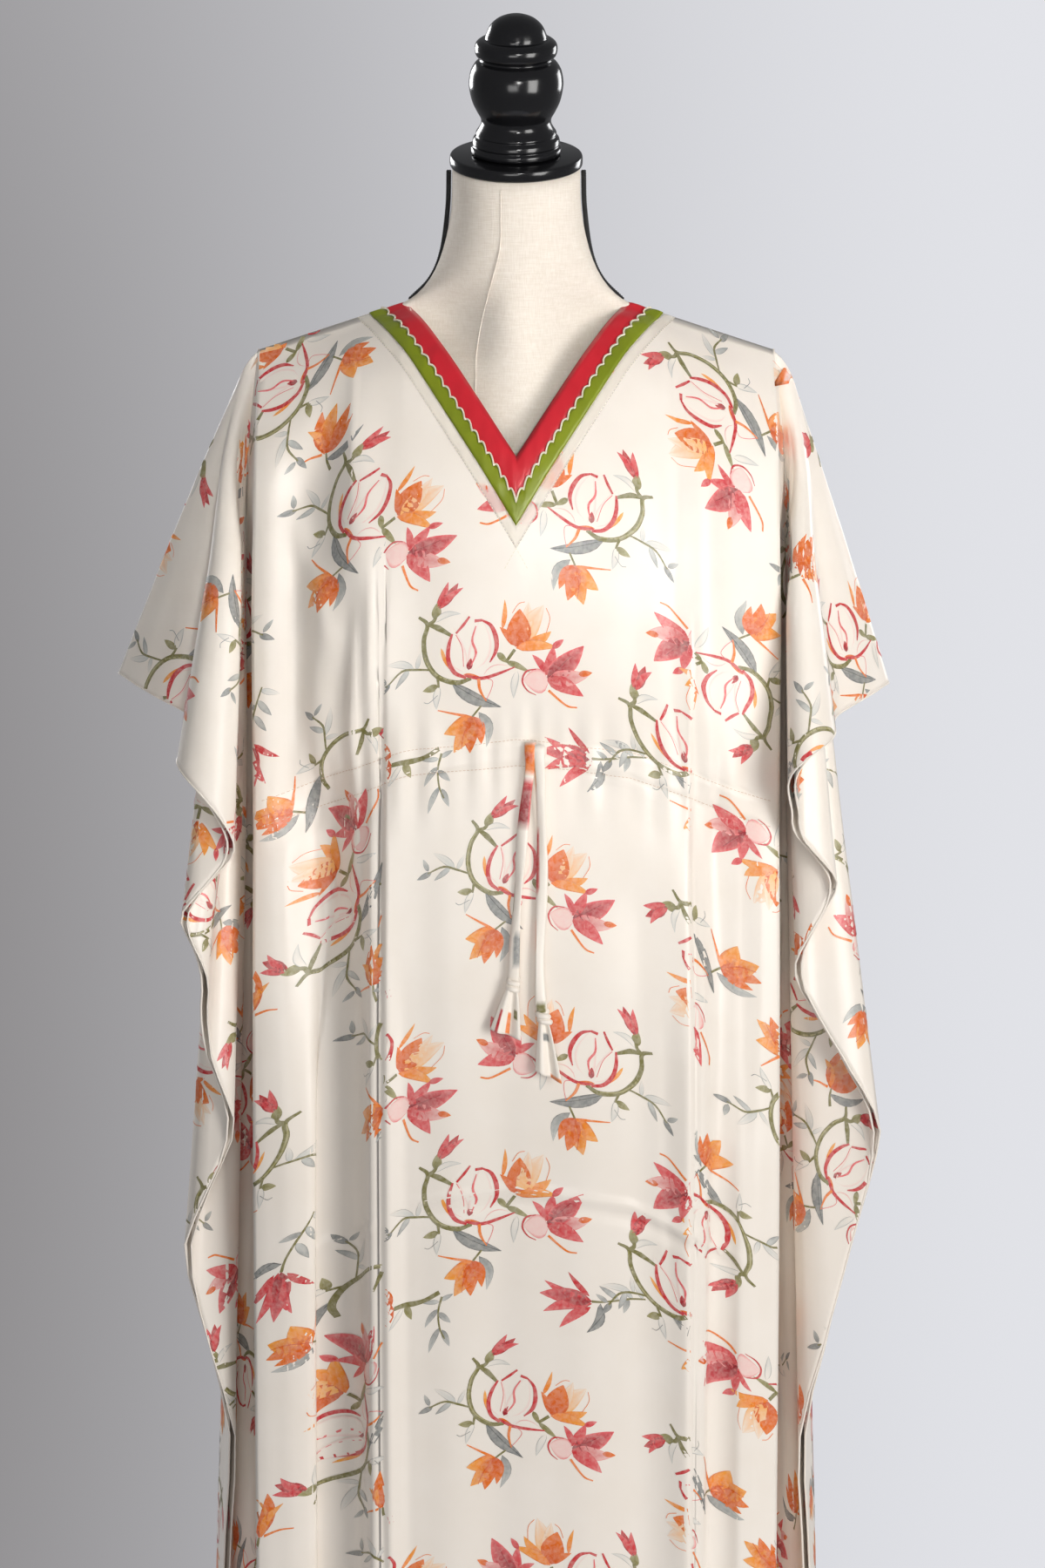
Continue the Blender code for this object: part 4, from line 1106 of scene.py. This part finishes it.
front_print = print_cloth("front_print", FRONT)
back_print = print_cloth("back_print", BACK)
front_inside = print_cloth("front_print_inside", FRONT, -1.0)
back_inside = print_cloth("back_print_inside", BACK, -1.0)

# neck bands
RED_WIDTH = 0.0155
GREEN_WIDTH = 0.0115
SCALLOPS = 19
SCALLOP_DEPTH = 0.0027
BAND_RISE = 0.0003
BAND_WAVE = 0.00025


def neck_line(side, width, shares):
    """Flat places outside the neck edge by a width, mitred at the centre."""
    run = math.hypot(NECK_HALF, NECK_DEPTH)
    places = []
    for share, off in zip(shares, np.broadcast_to(width, len(shares))):
        slope_s = -NECK_HALF / run
        slope_t = NECK_DEPTH / run
        before = off * NECK_HALF / NECK_DEPTH / run
        after = off * NECK_DEPTH / NECK_HALF / run
        along = -before + share * (1.0 + before + after)
        inside = min(max(along, 0.0), 1.0)
        s = NECK_HALF * (1.0 - inside)
        here = np.array([s, float(neck_start(s, 1))])
        extra = (along - inside) * run
        place = here + np.array([slope_s, slope_t]) * extra + np.array([slope_t, -slope_s]) * off
        place[1] = max(place[1], 0.0004)
        place[0] = max(place[0], 0.0)
        places.append((side * place[0], place[1]))
    return np.array(places)


def laid_strip(name, near, far, rise, steps, material, tracks=5, crown=0.0004, thick=0.0003):
    """Sewn strip round the V with a soft crown, near and far are offsets by share."""
    shares = np.linspace(0.0, 1.0, steps)
    order = np.concatenate([shares, shares[-2::-1]])
    sides = np.concatenate([-np.ones(steps), np.ones(steps - 1)])
    grid = []
    for across in np.linspace(0.0, 1.0, tracks):
        line = []
        for side in (-1, 1):
            width = near(shares) + (far(shares) - near(shares)) * across
            line.append(neck_line(side, width, shares))
        line = np.concatenate([line[0], line[1][-2::-1]])
        height = WALL / 2.0 + BAND_RISE + rise + crown * math.sin(math.pi * across) ** 0.7
        wave = BAND_WAVE * np.sin(order * 61.0 + sides * 1.3) * math.sin(math.pi * across)
        place, _ = FRONT.at(line[:, 0], np.maximum(line[:, 1], 0.0004), height + wave)
        grid.append(place)
    grid = np.array(grid)
    count = grid.shape[1]
    low = grid.copy()
    under, _ = FRONT.at(*np.concatenate([neck_line(-1, near(shares), shares),
                                         neck_line(1, near(shares), shares)[-2::-1]]).T,
                        np.full(count, 0.0))
    low -= unit(grid[0] - under)[None] * thick
    points = np.concatenate([grid.reshape(-1, 3), low.reshape(-1, 3)])
    half = tracks * count
    faces = grid_quads(tracks, count)
    faces += [(a + half, d + half, c + half, b + half) for a, b, c, d in faces]
    rim = list(range(count)) + [k * count + count - 1 for k in range(1, tracks)]
    rim += [(tracks - 1) * count + i for i in range(count - 2, -1, -1)]
    rim += [k * count for k in range(tracks - 2, 0, -1)]
    for here, there in zip(rim, rim[1:] + rim[:1]):
        faces.append((here, here + half, there + half, there))
    return mesh_object(name, points, faces, material)


def level(value):
    return lambda shares: np.full(len(shares), value)


def scalloped(value):
    return lambda shares: value + SCALLOP_DEPTH * (
        1.0 - np.abs(np.sin(math.pi * SCALLOPS * shares)) ** 0.8)


RED = two_tone_satin("red_satin", lin(190, 26, 40), lin(214, 40, 52), 0.04, 0.28)
GREEN = two_tone_satin("green_satin", lin(104, 118, 14), lin(146, 158, 26), 0.04, 0.34)
THREAD = two_tone_satin("cream_thread", lin(222, 212, 188), lin(240, 232, 210), 0.04, 0.6)
STITCH = two_tone_satin("beige_thread", lin(206, 178, 150), lin(222, 196, 168), 0.04, 0.6)

red_band = laid_strip("red_band", level(0.0), level(RED_WIDTH + 0.0008), 0.0, 150, RED)
green_band = laid_strip("green_band", scalloped(RED_WIDTH), level(RED_WIDTH + GREEN_WIDTH), 0.0006,
                        300, GREEN)


def veil_material():
    """Facing under the satin, seen as a paler edge."""
    made, tree, shader = new_material("facing_veil")
    slow = cloth_finish(tree, shader)
    feed(tree, shader, {"Alpha": spread(tree, slow, 0.26, 0.46), "Base Color": (*lin(255, 250, 240), 1.0)})
    return made


VEIL_WIDTH = 0.0088
facing_veil = laid_strip("facing_veil", level(RED_WIDTH + GREEN_WIDTH + 0.0002),
                         level(RED_WIDTH + GREEN_WIDTH + VEIL_WIDTH), 0.0, 120, veil_material(),
                         crown=0.0001, thick=0.00008)


def piping_points():
    """Line of the piping along the scallops of the green band."""
    shares = np.linspace(0.0, 1.0, 420)
    line = [neck_line(side, scalloped(RED_WIDTH - 0.0002)(shares), shares) for side in (-1, 1)]
    flat = np.concatenate([line[0], line[1][-2::-1]])
    place, _ = FRONT.at(flat[:, 0], flat[:, 1], np.full(len(flat), WALL / 2.0 + 0.0016))
    return place


def tube_mesh(name, path, radius, material, sides=8, flat=1.0, twist=None):
    """Closed tube along a path; radius may change, flat squashes it, twist turns it."""
    path = np.array(path, float)
    way = unit(np.gradient(path, axis=0))
    radius = np.broadcast_to(radius, len(path))
    flat = np.broadcast_to(flat, len(path))
    turn = np.zeros(len(path)) if twist is None else np.broadcast_to(twist, len(path))
    start = np.array([1.0, 0.0, 0.0])
    points = []
    for k, spot in enumerate(path):
        start = start - way[k] * start.dot(way[k])
        start = start / np.linalg.norm(start)
        other = np.cross(way[k], start)
        c, d = math.cos(turn[k]), math.sin(turn[k])
        u, v = start * c + other * d, other * c - start * d
        for i in range(sides):
            a = 2 * math.pi * i / sides
            points.append(spot + u * radius[k] * math.cos(a) + v * radius[k] * flat[k] * math.sin(a))
    return mesh_object(name, points, lathe_faces(len(path), sides), material)


neck_piping = tube_mesh("neck_piping", piping_points(), 0.00078, THREAD, 6)


STITCH_LENGTH = 0.0021
STITCH_GAP = 0.0011
STITCH_WIDTH = 0.00045
STITCH_RISE = 0.00035


def stitches(name, lines, material):
    """Short raised threads along flat lines on the front."""
    points, faces = [], []
    lift = WALL / 2.0 + 0.00012
    for line in lines:
        along = distance_along(line)
        for begin in np.arange(0.0, along[-1] - STITCH_LENGTH, STITCH_LENGTH + STITCH_GAP):
            spots = [np.array([np.interp(begin + STITCH_LENGTH * u, along, line[:, k]) for k in (0, 1)])
                     for u in (0.0, 0.5, 1.0)]
            way = unit(spots[2] - spots[0])
            off = np.array([-way[1], way[0]]) * STITCH_WIDTH / 2.0
            faces += grid_quads(3, 2, len(points))
            for spot, rise in zip(spots, (0.0, STITCH_RISE, 0.0)):
                points += [(*(spot + off * sign), lift + rise) for sign in (-1, 1)]
    place, _ = FRONT.at(*np.array(points).T)
    return mesh_object(name, place, faces, material)


def casing_lines():
    """Both rows of stitches that hold the casing, slightly uneven."""
    s = np.linspace(-0.208, 0.208, 200)
    lines = []
    for t in (CASING_T, CASING_T + CASING_WIDTH):
        wander = 0.0006 * np.sin(s * 60.0 + t * 900.0)
        lines.append(np.stack([s, t + casing_shift(s) + wander], axis=1))
    return lines


def facing_lines():
    """Row of stitches outside the green band, with a short tail at the point."""
    shares = np.linspace(0.0, 1.0, 120)
    lines = []
    for side in (-1, 1):
        line = neck_line(side, RED_WIDTH + GREEN_WIDTH + 0.0085, shares)
        tail = line[-1] + np.array([-side * 0.010, 0.0165])
        lines.append(np.vstack([line, tail]))
    return lines


casing_stitches = stitches("casing_stitches", casing_lines(), STITCH)
facing_stitches = stitches("facing_stitches", facing_lines(), THREAD)


def edge_tube(name, panel, material):
    """Narrow rolled hem along the cuffs, the free sides and the lower edge of a cloth."""
    return tube_mesh(name, panel.grid[:, -1], 0.0009, material, 6, 0.7)


front_hem = edge_tube("front_hem", FRONT, SATIN)
back_hem = edge_tube("back_hem", BACK, SATIN)


# dress form: linen cover, side cords, black turned wood
def linen_material():
    """Linen with threads both ways."""
    made, tree, shader = new_material("linen_cover")
    where = add_node(tree, "TexCoord", {}).outputs["Object"]
    slubs = []
    for scale in ((90.0, 90.0, 1100.0), (1100.0, 900.0, 90.0)):
        thread = add_node(tree, "Mapping", {"Vector": where, "Scale": scale}).outputs["Vector"]
        slubs.append(add_node(tree, "TexNoise", {"Vector": thread, "Scale": 1.0,
                                                 "Detail": 2.0}).outputs["Fac"])
    weave = add_node(tree, "Math", dict(enumerate(slubs)), operation="ADD").outputs["Value"]
    tone = colour_mix(tree, lin(232, 221, 206), lin(243, 234, 222), spread(tree, weave, 0.0, 1.0, 0.7, 1.3))
    feed(tree, shader, {"Base Color": tone, "Normal": bump(tree, weave, 0.35, 0.0006),
                        "Roughness": 0.85, "Specular IOR Level": 0.25})
    return made


def gloss_material(name, roughness):
    """Black lacquer or cord, by its roughness."""
    made, tree, shader = new_material(name)
    grain = noise(tree, 60.0, 3.0)
    feed(tree, shader, {"Base Color": (0.007, 0.007, 0.008, 1.0), "Normal": bump(tree, grain, 0.05, 0.001),
                        "Roughness": spread(tree, grain, roughness - 0.04, roughness + 0.06)})
    return made


LINEN = linen_material()
GLOSS = gloss_material("black_gloss", 0.16)
BRAID = gloss_material("black_braid", 0.62)
FORM.data.materials.append(LINEN)

NECK_TOP = TORSO[-1][0]
GAP = 0.0003
DISC_HEIGHT = 0.0095
DISC_PLACE = (0.0, 0.0, NECK_TOP + GAP / math.cos(NECK_TILT))
DISC_PROFILE = (
    (0.0500, 0.0), (0.0520, 0.0010), (0.0525, 0.0030), (0.0525, 0.0065), (0.0518, 0.0087),
    (0.0500, 0.0095),
)
FINIAL_PROFILE = (
    (0.0300, 0.0000), (0.0352, 0.0012), (0.0358, 0.0050), (0.0340, 0.0072), (0.0345, 0.0090),
    (0.0338, 0.0125), (0.0315, 0.0150), (0.0318, 0.0170), (0.0290, 0.0215), (0.0276, 0.0250),
    (0.0280, 0.0290), (0.0310, 0.0345), (0.0345, 0.0420), (0.0366, 0.0510), (0.0370, 0.0580),
    (0.0355, 0.0660), (0.0320, 0.0720), (0.0285, 0.0745), (0.0285, 0.0765), (0.0312, 0.0785),
    (0.0324, 0.0830), (0.0315, 0.0875), (0.0280, 0.0905), (0.0245, 0.0915), (0.0238, 0.0940),
    (0.0205, 0.1010), (0.0145, 0.1065), (0.0070, 0.1095), (0.0015, 0.1102),
)
BASE_PROFILE = (
    (0.186, 0.0), (0.190, 0.004), (0.190, 0.010), (0.185, 0.017), (0.174, 0.0205), (0.164, 0.022),
    (0.055, 0.027), (0.034, 0.030), (0.030, 0.036), (0.0255, 0.043), (0.023, 0.045),
)


def turned(name, profile, place, tilt, per, material, sides):
    """Turned piece from a profile of radius and height."""
    rows = spline(profile, per)[0] if per > 1 else np.array(profile)
    rows[:, 0] = np.maximum(rows[:, 0], 0.001)
    matrix = Matrix.Translation(place) @ Matrix.Rotation(tilt, 4, "X")
    points = []
    for radius, height in rows:
        for i in range(sides):
            turn = 2.0 * math.pi * i / sides
            points.append(matrix @ Vector((radius * math.cos(turn), radius * math.sin(turn), height)))
    return mesh_object(name, points, lathe_faces(len(rows), sides), material)


LIFT = DISC_HEIGHT + GAP
FINIAL_PLACE = (0.0, -math.sin(NECK_TILT) * LIFT, DISC_PLACE[2] + math.cos(NECK_TILT) * LIFT)
cap_disc = turned("cap_disc", DISC_PROFILE, DISC_PLACE, NECK_TILT, 4, GLOSS, 128)
finial = turned("finial", FINIAL_PROFILE, FINIAL_PLACE, NECK_TILT, 5, GLOSS, 80)
base = turned("base", BASE_PROFILE, (0.0, 0.0, 0.0), 0.0, 4, GLOSS, 128)
pole = turned("pole", ((0.015, 0.0453), (0.015, 0.7157)), (0.0, 0.0, 0.0), 0.0, 1, GLOSS, 48)


SEAM_TOP = 1.594
SEAM_FOOT = 1.285


def centre_seam():
    """Fine raised seam down the front of the cover, left of its middle."""
    path = []
    for height in np.linspace(SEAM_TOP, SEAM_FOOT, 70):
        row = [np.interp(height, [r[0] for r in TORSO], [r[k] for r in TORSO]) for k in range(5)]
        ring = torso_ring(height, *row[1:])
        fore = np.array(sorted(p for p in ring if p[1] < 0))
        x = -0.012 - 0.020 * ease((1.56 - height) / 0.12)
        y, z = [np.interp(x, fore[:, 0], fore[:, k]) for k in (1, 2)]
        path.append((x, y - 0.0001, z))
    return tube_mesh("form_seam", path, 0.00055, LINEN, 6, 1.0)


form_seam = centre_seam()


# side cord: how far its core stands off the seam, its pitch, and its strands' place and size
CORD_OFF = 0.0027
CORD_PITCH = 0.0060
STRAND_OFF = 0.0011
STRAND_RADIUS = 0.00115
CORD_FOOT = 1.4895


def side_braid(name, side):
    """Cord of three strands turned round each other, up the side of the neck."""
    edge = [(row[1], row[0]) for row in reversed(TORSO) if row[0] > CORD_FOOT]
    edge[0] = (edge[0][0], edge[0][1] - 0.0040)
    edge[-1] = (edge[-1][0] - 0.0012, edge[-1][1] + 0.0010)
    line, _ = spline(edge, 12)
    way = unit(np.gradient(line, axis=0))
    path = np.stack([side * (line[:, 0] - way[:, 1] * CORD_OFF), np.zeros(len(line)),
                     line[:, 1] + way[:, 0] * CORD_OFF], axis=1)
    along = distance_along(path)
    fine = np.arange(0.0, along[-1], 0.0005)
    core = np.stack([np.interp(fine, along, path[:, k]) for k in range(3)], axis=1)
    out = np.cross(unit(np.gradient(core, axis=0)), np.array([0.0, 1.0, 0.0]))
    made = []
    for k in range(3):
        turn = fine / CORD_PITCH * 2 * math.pi + 2 * math.pi * k / 3
        strand = core + out * (STRAND_OFF * np.cos(turn))[:, None]
        strand[:, 1] += STRAND_OFF * np.sin(turn)
        made.append(tube_mesh(f"{name}_{k}", strand[::2], STRAND_RADIUS, BRAID, 7))
    return made


braids = {side: side_braid(name, side) for side, name in ((-1, "braid_left"), (1, "braid_right"))}

CASING_HALF = 0.195
CASING_COLUMNS = 120
CASING_ROWS = 5


def add_wall(obj, thickness):
    wall = obj.modifiers.new("wall", "SOLIDIFY")
    wall.thickness = thickness
    wall.offset = 0.0


def casing_strip():
    """Strip on the inside of the front that the drawstring runs in."""
    s, t = [v.ravel() for v in np.meshgrid(np.linspace(-CASING_HALF, CASING_HALF, CASING_COLUMNS),
                                           np.linspace(CASING_T, CASING_T + CASING_WIDTH, CASING_ROWS),
                                           indexing="ij")]
    place, _ = FRONT.at(s, t + casing_shift(s), np.full(len(s), -WALL / 2.0 - 0.0009))
    quads = [(a, d, c, b) for a, b, c, d in grid_quads(CASING_COLUMNS, CASING_ROWS)]
    made = mesh_object("casing_strip", place, quads, SATIN)
    add_wall(made, 0.0005)
    return made


casing = casing_strip()

# drawstring ends: place across, place down, rise off the cloth
TIE_WIDTH = 0.0075
TIE_SHORT = (
    (0.010, 0.384, 0.001), (0.009, 0.400, 0.003), (0.007, 0.430, 0.001), (0.004, 0.470, 0.000),
    (0.001, 0.510, 0.000), (-0.001, 0.545, 0.001), (-0.002, 0.575, 0.002),
)
TIE_LONG = (
    (0.019, 0.385, 0.001), (0.020, 0.402, 0.003), (0.020, 0.440, 0.001), (0.021, 0.480, 0.000),
    (0.020, 0.520, 0.000), (0.019, 0.560, 0.001), (0.020, 0.590, 0.001), (0.022, 0.599, 0.001),
)


def tie_path(places):
    line, _ = spline(places, 5)
    off = SOLID_WALL / 2.0 + 2.0 * GAP + TIE_WIDTH / 2.0
    path, _ = FRONT.at(line[:, 0], line[:, 1], off + line[:, 2])
    return path


# patches of print on the ties: first and last share, first and last side, colour
SHORT_PATCHES = ((0.02, 0.20, 0, 6, ORANGE), (0.08, 0.14, 3, 9, RUST), (0.24, 0.42, 0, 8, CRIMSON),
                 (0.30, 0.40, 2, 5, DEEP), (0.62, 0.72, 6, 9, OLIVE), (0.80, 0.90, 0, 3, GREY))
LONG_PATCHES = ((0.10, 0.22, 6, 9, PEACH), (0.34, 0.50, 5, 7, CRIMSON), (0.58, 0.66, 7, 10, ORANGE),
                (0.84, 0.93, 2, 5, OLIVE), (0.90, 0.99, 5, 8, GREY))


def patch_colour(patches, u, v):
    """Colour of the last patch that holds a place, or else of the plain cloth."""
    held = [colour for begin, end, low, high, colour in patches if begin <= u <= end and low <= v <= high]
    return held[-1] if held else PAPER


TIE_SIDES = 14
KNOT_TURNS = 2.0
KNOT_STEPS = 35
KNOT_LENGTH = 0.009
FAN_ROWS = 26
FAN_COLUMNS = 34
FAN_TOP_HALF = 0.0022


def tie(name, places, twist_by, patches):
    path = tie_path(places)
    share = np.linspace(0.0, 1.0, len(path))
    twist = np.interp(share, [u for u, _ in twist_by], [w for _, w in twist_by])
    flat = 0.38 + 0.08 * np.sin(share * 17.0)
    radius = TIE_WIDTH / 2.0 * (1.12 + 0.16 * np.sin(share * 15.0 + 0.9))
    made = tube_mesh(name, path, radius, INK, TIE_SIDES, flat, twist)
    paint(made, [patch_colour(patches, u, i) for u in share for i in range(TIE_SIDES)])
    return made, path


def knot(name, path, radius):
    """Two close turns of the tie round itself."""
    end = Vector(path[-1])
    way = (Vector(path[-1]) - Vector(path[-3])).normalized()
    turns = []
    for k in range(KNOT_STEPS + 1):
        a = 2 * math.pi * KNOT_TURNS * k / KNOT_STEPS
        rise = way * (-KNOT_LENGTH / 2.0 + KNOT_LENGTH * k / KNOT_STEPS)
        turns.append(end + rise + Vector((math.cos(a) * radius, math.sin(a) * radius * 0.75, 0.0)))
    made = tube_mesh(name, turns, 0.0025, INK, 8)
    paint(made, [PAPER] * len(made.data.vertices))
    return made


def fan_end(name, path, drop, wide, lean, patches):
    """Flared end below the knot: pleats that open towards a slanted edge."""
    top = np.array(path[-1]) + np.array([0.0, 0.0, 0.002])
    points, colours = [], []
    for k in range(FAN_ROWS):
        u = k / (FAN_ROWS - 1.0)
        half = FAN_TOP_HALF + (wide / 2.0 - FAN_TOP_HALF) * u ** 0.75
        for i in range(FAN_COLUMNS):
            v = -1.0 + 2.0 * i / (FAN_COLUMNS - 1.0)
            fold = math.sin(v * 4.4 + 0.7) * (0.0010 + 0.0018 * u) * (1.0 - 0.3 * abs(v))
            x = top[0] + half * v + lean * u
            y = top[1] - 0.0015 + fold - 0.003 * u
            z = top[2] - drop * u * (1.0 + 0.10 * v)
            points.append((x, y, z))
            colours.append(patch_colour(patches, u, v))
    made = mesh_object(name, points, grid_quads(FAN_ROWS, FAN_COLUMNS), INK)
    paint(made, colours)
    add_wall(made, 0.0006)
    return made


tie_short, short_path = tie("tie_short", TIE_SHORT, ((0, 0.2), (0.3, 0.0), (0.6, 0.7), (1, 0.2)),
                            SHORT_PATCHES)
tie_long, long_path = tie("tie_long", TIE_LONG, ((0, 0.0), (0.35, 0.5), (0.7, -0.3), (1, 0.3)),
                          LONG_PATCHES)
knot_short = knot("knot_short", short_path, 0.0034)
knot_long = knot("knot_long", long_path, 0.0038)
end_short = fan_end("end_short", short_path, 0.042, 0.024, -0.006,
                    ((0.55, 1.0, -0.72, -0.55, CRIMSON), (0.60, 0.98, -0.05, 0.25, ORANGE),
                     (0.50, 0.66, 0.5, 0.8, OLIVE)))
end_long = fan_end("end_long", long_path, 0.050, 0.021, 0.004,
                   ((0.30, 0.42, -0.3, 0.5, GREY), (0.94, 1.0, 0.2, 1.0, ORANGE)))

# riding, what each piece stands for, and a slot name for each
STANDS_FOR = {
    front_cloth: ("front_panel", "printed_satin"),
    back_cloth: ("back_panel", "printed_satin"),
    casing: ("drawstring_casing", "printed_satin"),
    tie_short: ("drawstring_end_short", "printed_satin"),
    tie_long: ("drawstring_end_long", "printed_satin"),
    red_band: ("red_neck_band", "red_satin"),
    green_band: ("green_scalloped_band", "green_satin"),
    neck_piping: ("cream_scalloped_piping", "cream_piping"),
    FORM: ("dress_form", "linen_cover"),
    braids[-1][0]: ("side_cord_left", "black_braid"),
    braids[1][0]: ("side_cord_right", "black_braid"),
    cap_disc: ("neck_cap_disc", "black_wood"),
    finial: ("turned_finial", "black_wood"),
    pole: ("stand_pole", "black_wood"),
    base: ("round_base", "black_wood"),
}
for piece, (node, name) in STANDS_FOR.items():
    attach(piece, "root")
    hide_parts(node)
EXTRA = {
    "printed_satin": (front_print, back_print, front_inside, back_inside, facing_veil, front_hem,
                      back_hem, knot_short, knot_long, end_short, end_long, casing_stitches),
    "cream_piping": (facing_stitches,),
    "linen_cover": (form_seam,),
    "black_braid": (*braids[-1][1:], *braids[1][1:]),
}
for name, group in EXTRA.items():
    for piece in group:
        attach(piece, "root")


# floor, lights, backdrop and camera
def floor_material():
    made, tree, shader = new_material("pale_floor")
    tone = colour_mix(tree, lin(216, 218, 226), lin(222, 224, 230), noise(tree, 1.3))
    feed(tree, shader, {"Base Color": tone, "Roughness": 0.9, "Specular IOR Level": 0.15})
    return made


def round_floor():
    """Round pale floor with a rolled edge. It ends below the photo's view."""
    profile = [(0.30, 0.0), (0.60, 0.0), (0.885, 0.0), (0.895, -0.002), (0.900, -0.008), (0.900, -0.030)]
    sides = 128
    turns = [2.0 * math.pi * k / sides for k in range(sides)]
    points, faces = [(0.0, 0.0, 0.0)], []
    for radius, z in profile:
        points += [(radius * math.cos(turn), radius * math.sin(turn), z) for turn in turns]
    for k in range(sides):
        after = (k + 1) % sides
        faces.append((0, 1 + k, 1 + after))
        for ring in range(len(profile) - 1):
            low, high = 1 + ring * sides, 1 + (ring + 1) * sides
            faces.append((low + k, high + k, high + after, low + after))
    return mesh_object("pale_floor", points, faces, floor_material())


round_floor()


def area_light(name, place, aim, width, height, power, colour, cone=180.0):
    data = bpy.data.lights.new(name, "AREA")
    data.shape = "RECTANGLE"
    data.size = width
    data.size_y = height
    data.energy = power
    data.color = colour
    data.spread = math.radians(cone)
    made = bpy.data.objects.new(name, data)
    made.location = place
    made.rotation_euler = (Vector(aim) - Vector(place)).to_track_quat("-Z", "Y").to_euler()
    made.visible_camera = False
    bpy.context.scene.collection.objects.link(made)


WARM = (1.0, 0.985, 0.965)
COOL = (0.98, 0.985, 1.0)
area_light("key", (2.15, -2.45, 1.50), (0.0, 0.0, 1.12), 1.3, 2.0, 72.0, WARM)
area_light("low_front", (-0.5, -3.9, 0.95), (0.0, 0.0, 1.05), 1.6, 1.0, 24.0, (1.0, 0.99, 0.975))
area_light("neck", (0.3, -2.6, 1.95), (0.0, -0.02, 1.43), 0.3, 0.3, 0.4, WARM, 26.0)
area_light("back_left", (-2.3, 3.0, 2.2), (0.0, 0.0, 1.0), 1.4, 1.8, 88.0, COOL)
area_light("back_right", (2.6, 2.6, 1.9), (0.0, 0.0, 1.0), 1.2, 1.6, 40.0, COOL)


# painted shade on the backdrop, standing in for the garment's cast shadow and the light's falloff: where it
# is darkest, how it is stretched there, and how far it reaches
SHADE_CENTRE = (-0.22, 0.93, -0.28)
SHADE_SHAPE = (1.0, 0.35, 0.30)
SHADE_REACH = 0.38


def studio_air():
    """Weak light from all round. To the camera the air is a pale backdrop, with painted shade making it
    darker low on the left.
    """
    made = bpy.data.worlds.new("studio_air")
    made.use_nodes = True
    tree = made.node_tree
    air = tree.nodes["Background"]
    feed(tree, air, {"Color": (0.95, 0.96, 1.0, 1.0), "Strength": 0.20})
    where = add_node(tree, "TexCoord", {}).outputs["Generated"]
    away = add_node(tree, "VectorMath", {0: where, 1: SHADE_CENTRE}, operation="SUBTRACT")
    oval = add_node(tree, "VectorMath", {0: away.outputs["Vector"], 1: SHADE_SHAPE}, operation="MULTIPLY")
    far = add_node(tree, "VectorMath", {0: oval.outputs["Vector"]}, operation="LENGTH").outputs["Value"]
    share = spread(tree, far, 0.0, 1.0, 0.0, SHADE_REACH, interpolation_type="SMOOTHSTEP")
    # painted shade: the backdrop's dark colour low on the left stands in for the garment's cast shadow and
    # the light's falloff
    tone = colour_mix(tree, lin(132, 129, 130), lin(226, 227, 232), share)
    backdrop = add_node(tree, "Background", {"Color": tone}).outputs["Background"]
    seen = add_node(tree, "LightPath", {}).outputs["Is Camera Ray"]
    pick = add_node(tree, "MixShader", {0: seen, 1: air.outputs["Background"], 2: backdrop})
    feed(tree, tree.nodes["World Output"], {"Surface": pick.outputs["Shader"]})
    return made


bpy.context.scene.world = studio_air()
bpy.context.scene.view_settings.view_transform = "Standard"

CAMERA_PLACE = (0.005, -2.90, 1.69)
CAMERA_DOWN = 11.5
camera_data = bpy.data.cameras.new("photo_camera")
camera_data.lens = 83.2
camera_data.sensor_width = 36.0
camera_data.sensor_fit = "AUTO"
camera = bpy.data.objects.new("photo_camera", camera_data)
camera.location = CAMERA_PLACE
camera.rotation_euler = (math.radians(90.0 - CAMERA_DOWN), 0.0, 0.0)
bpy.context.scene.collection.objects.link(camera)
bpy.context.scene.camera = camera

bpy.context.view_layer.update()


def plain(value):
    return [[float(v) for v in corner] for corner in value]
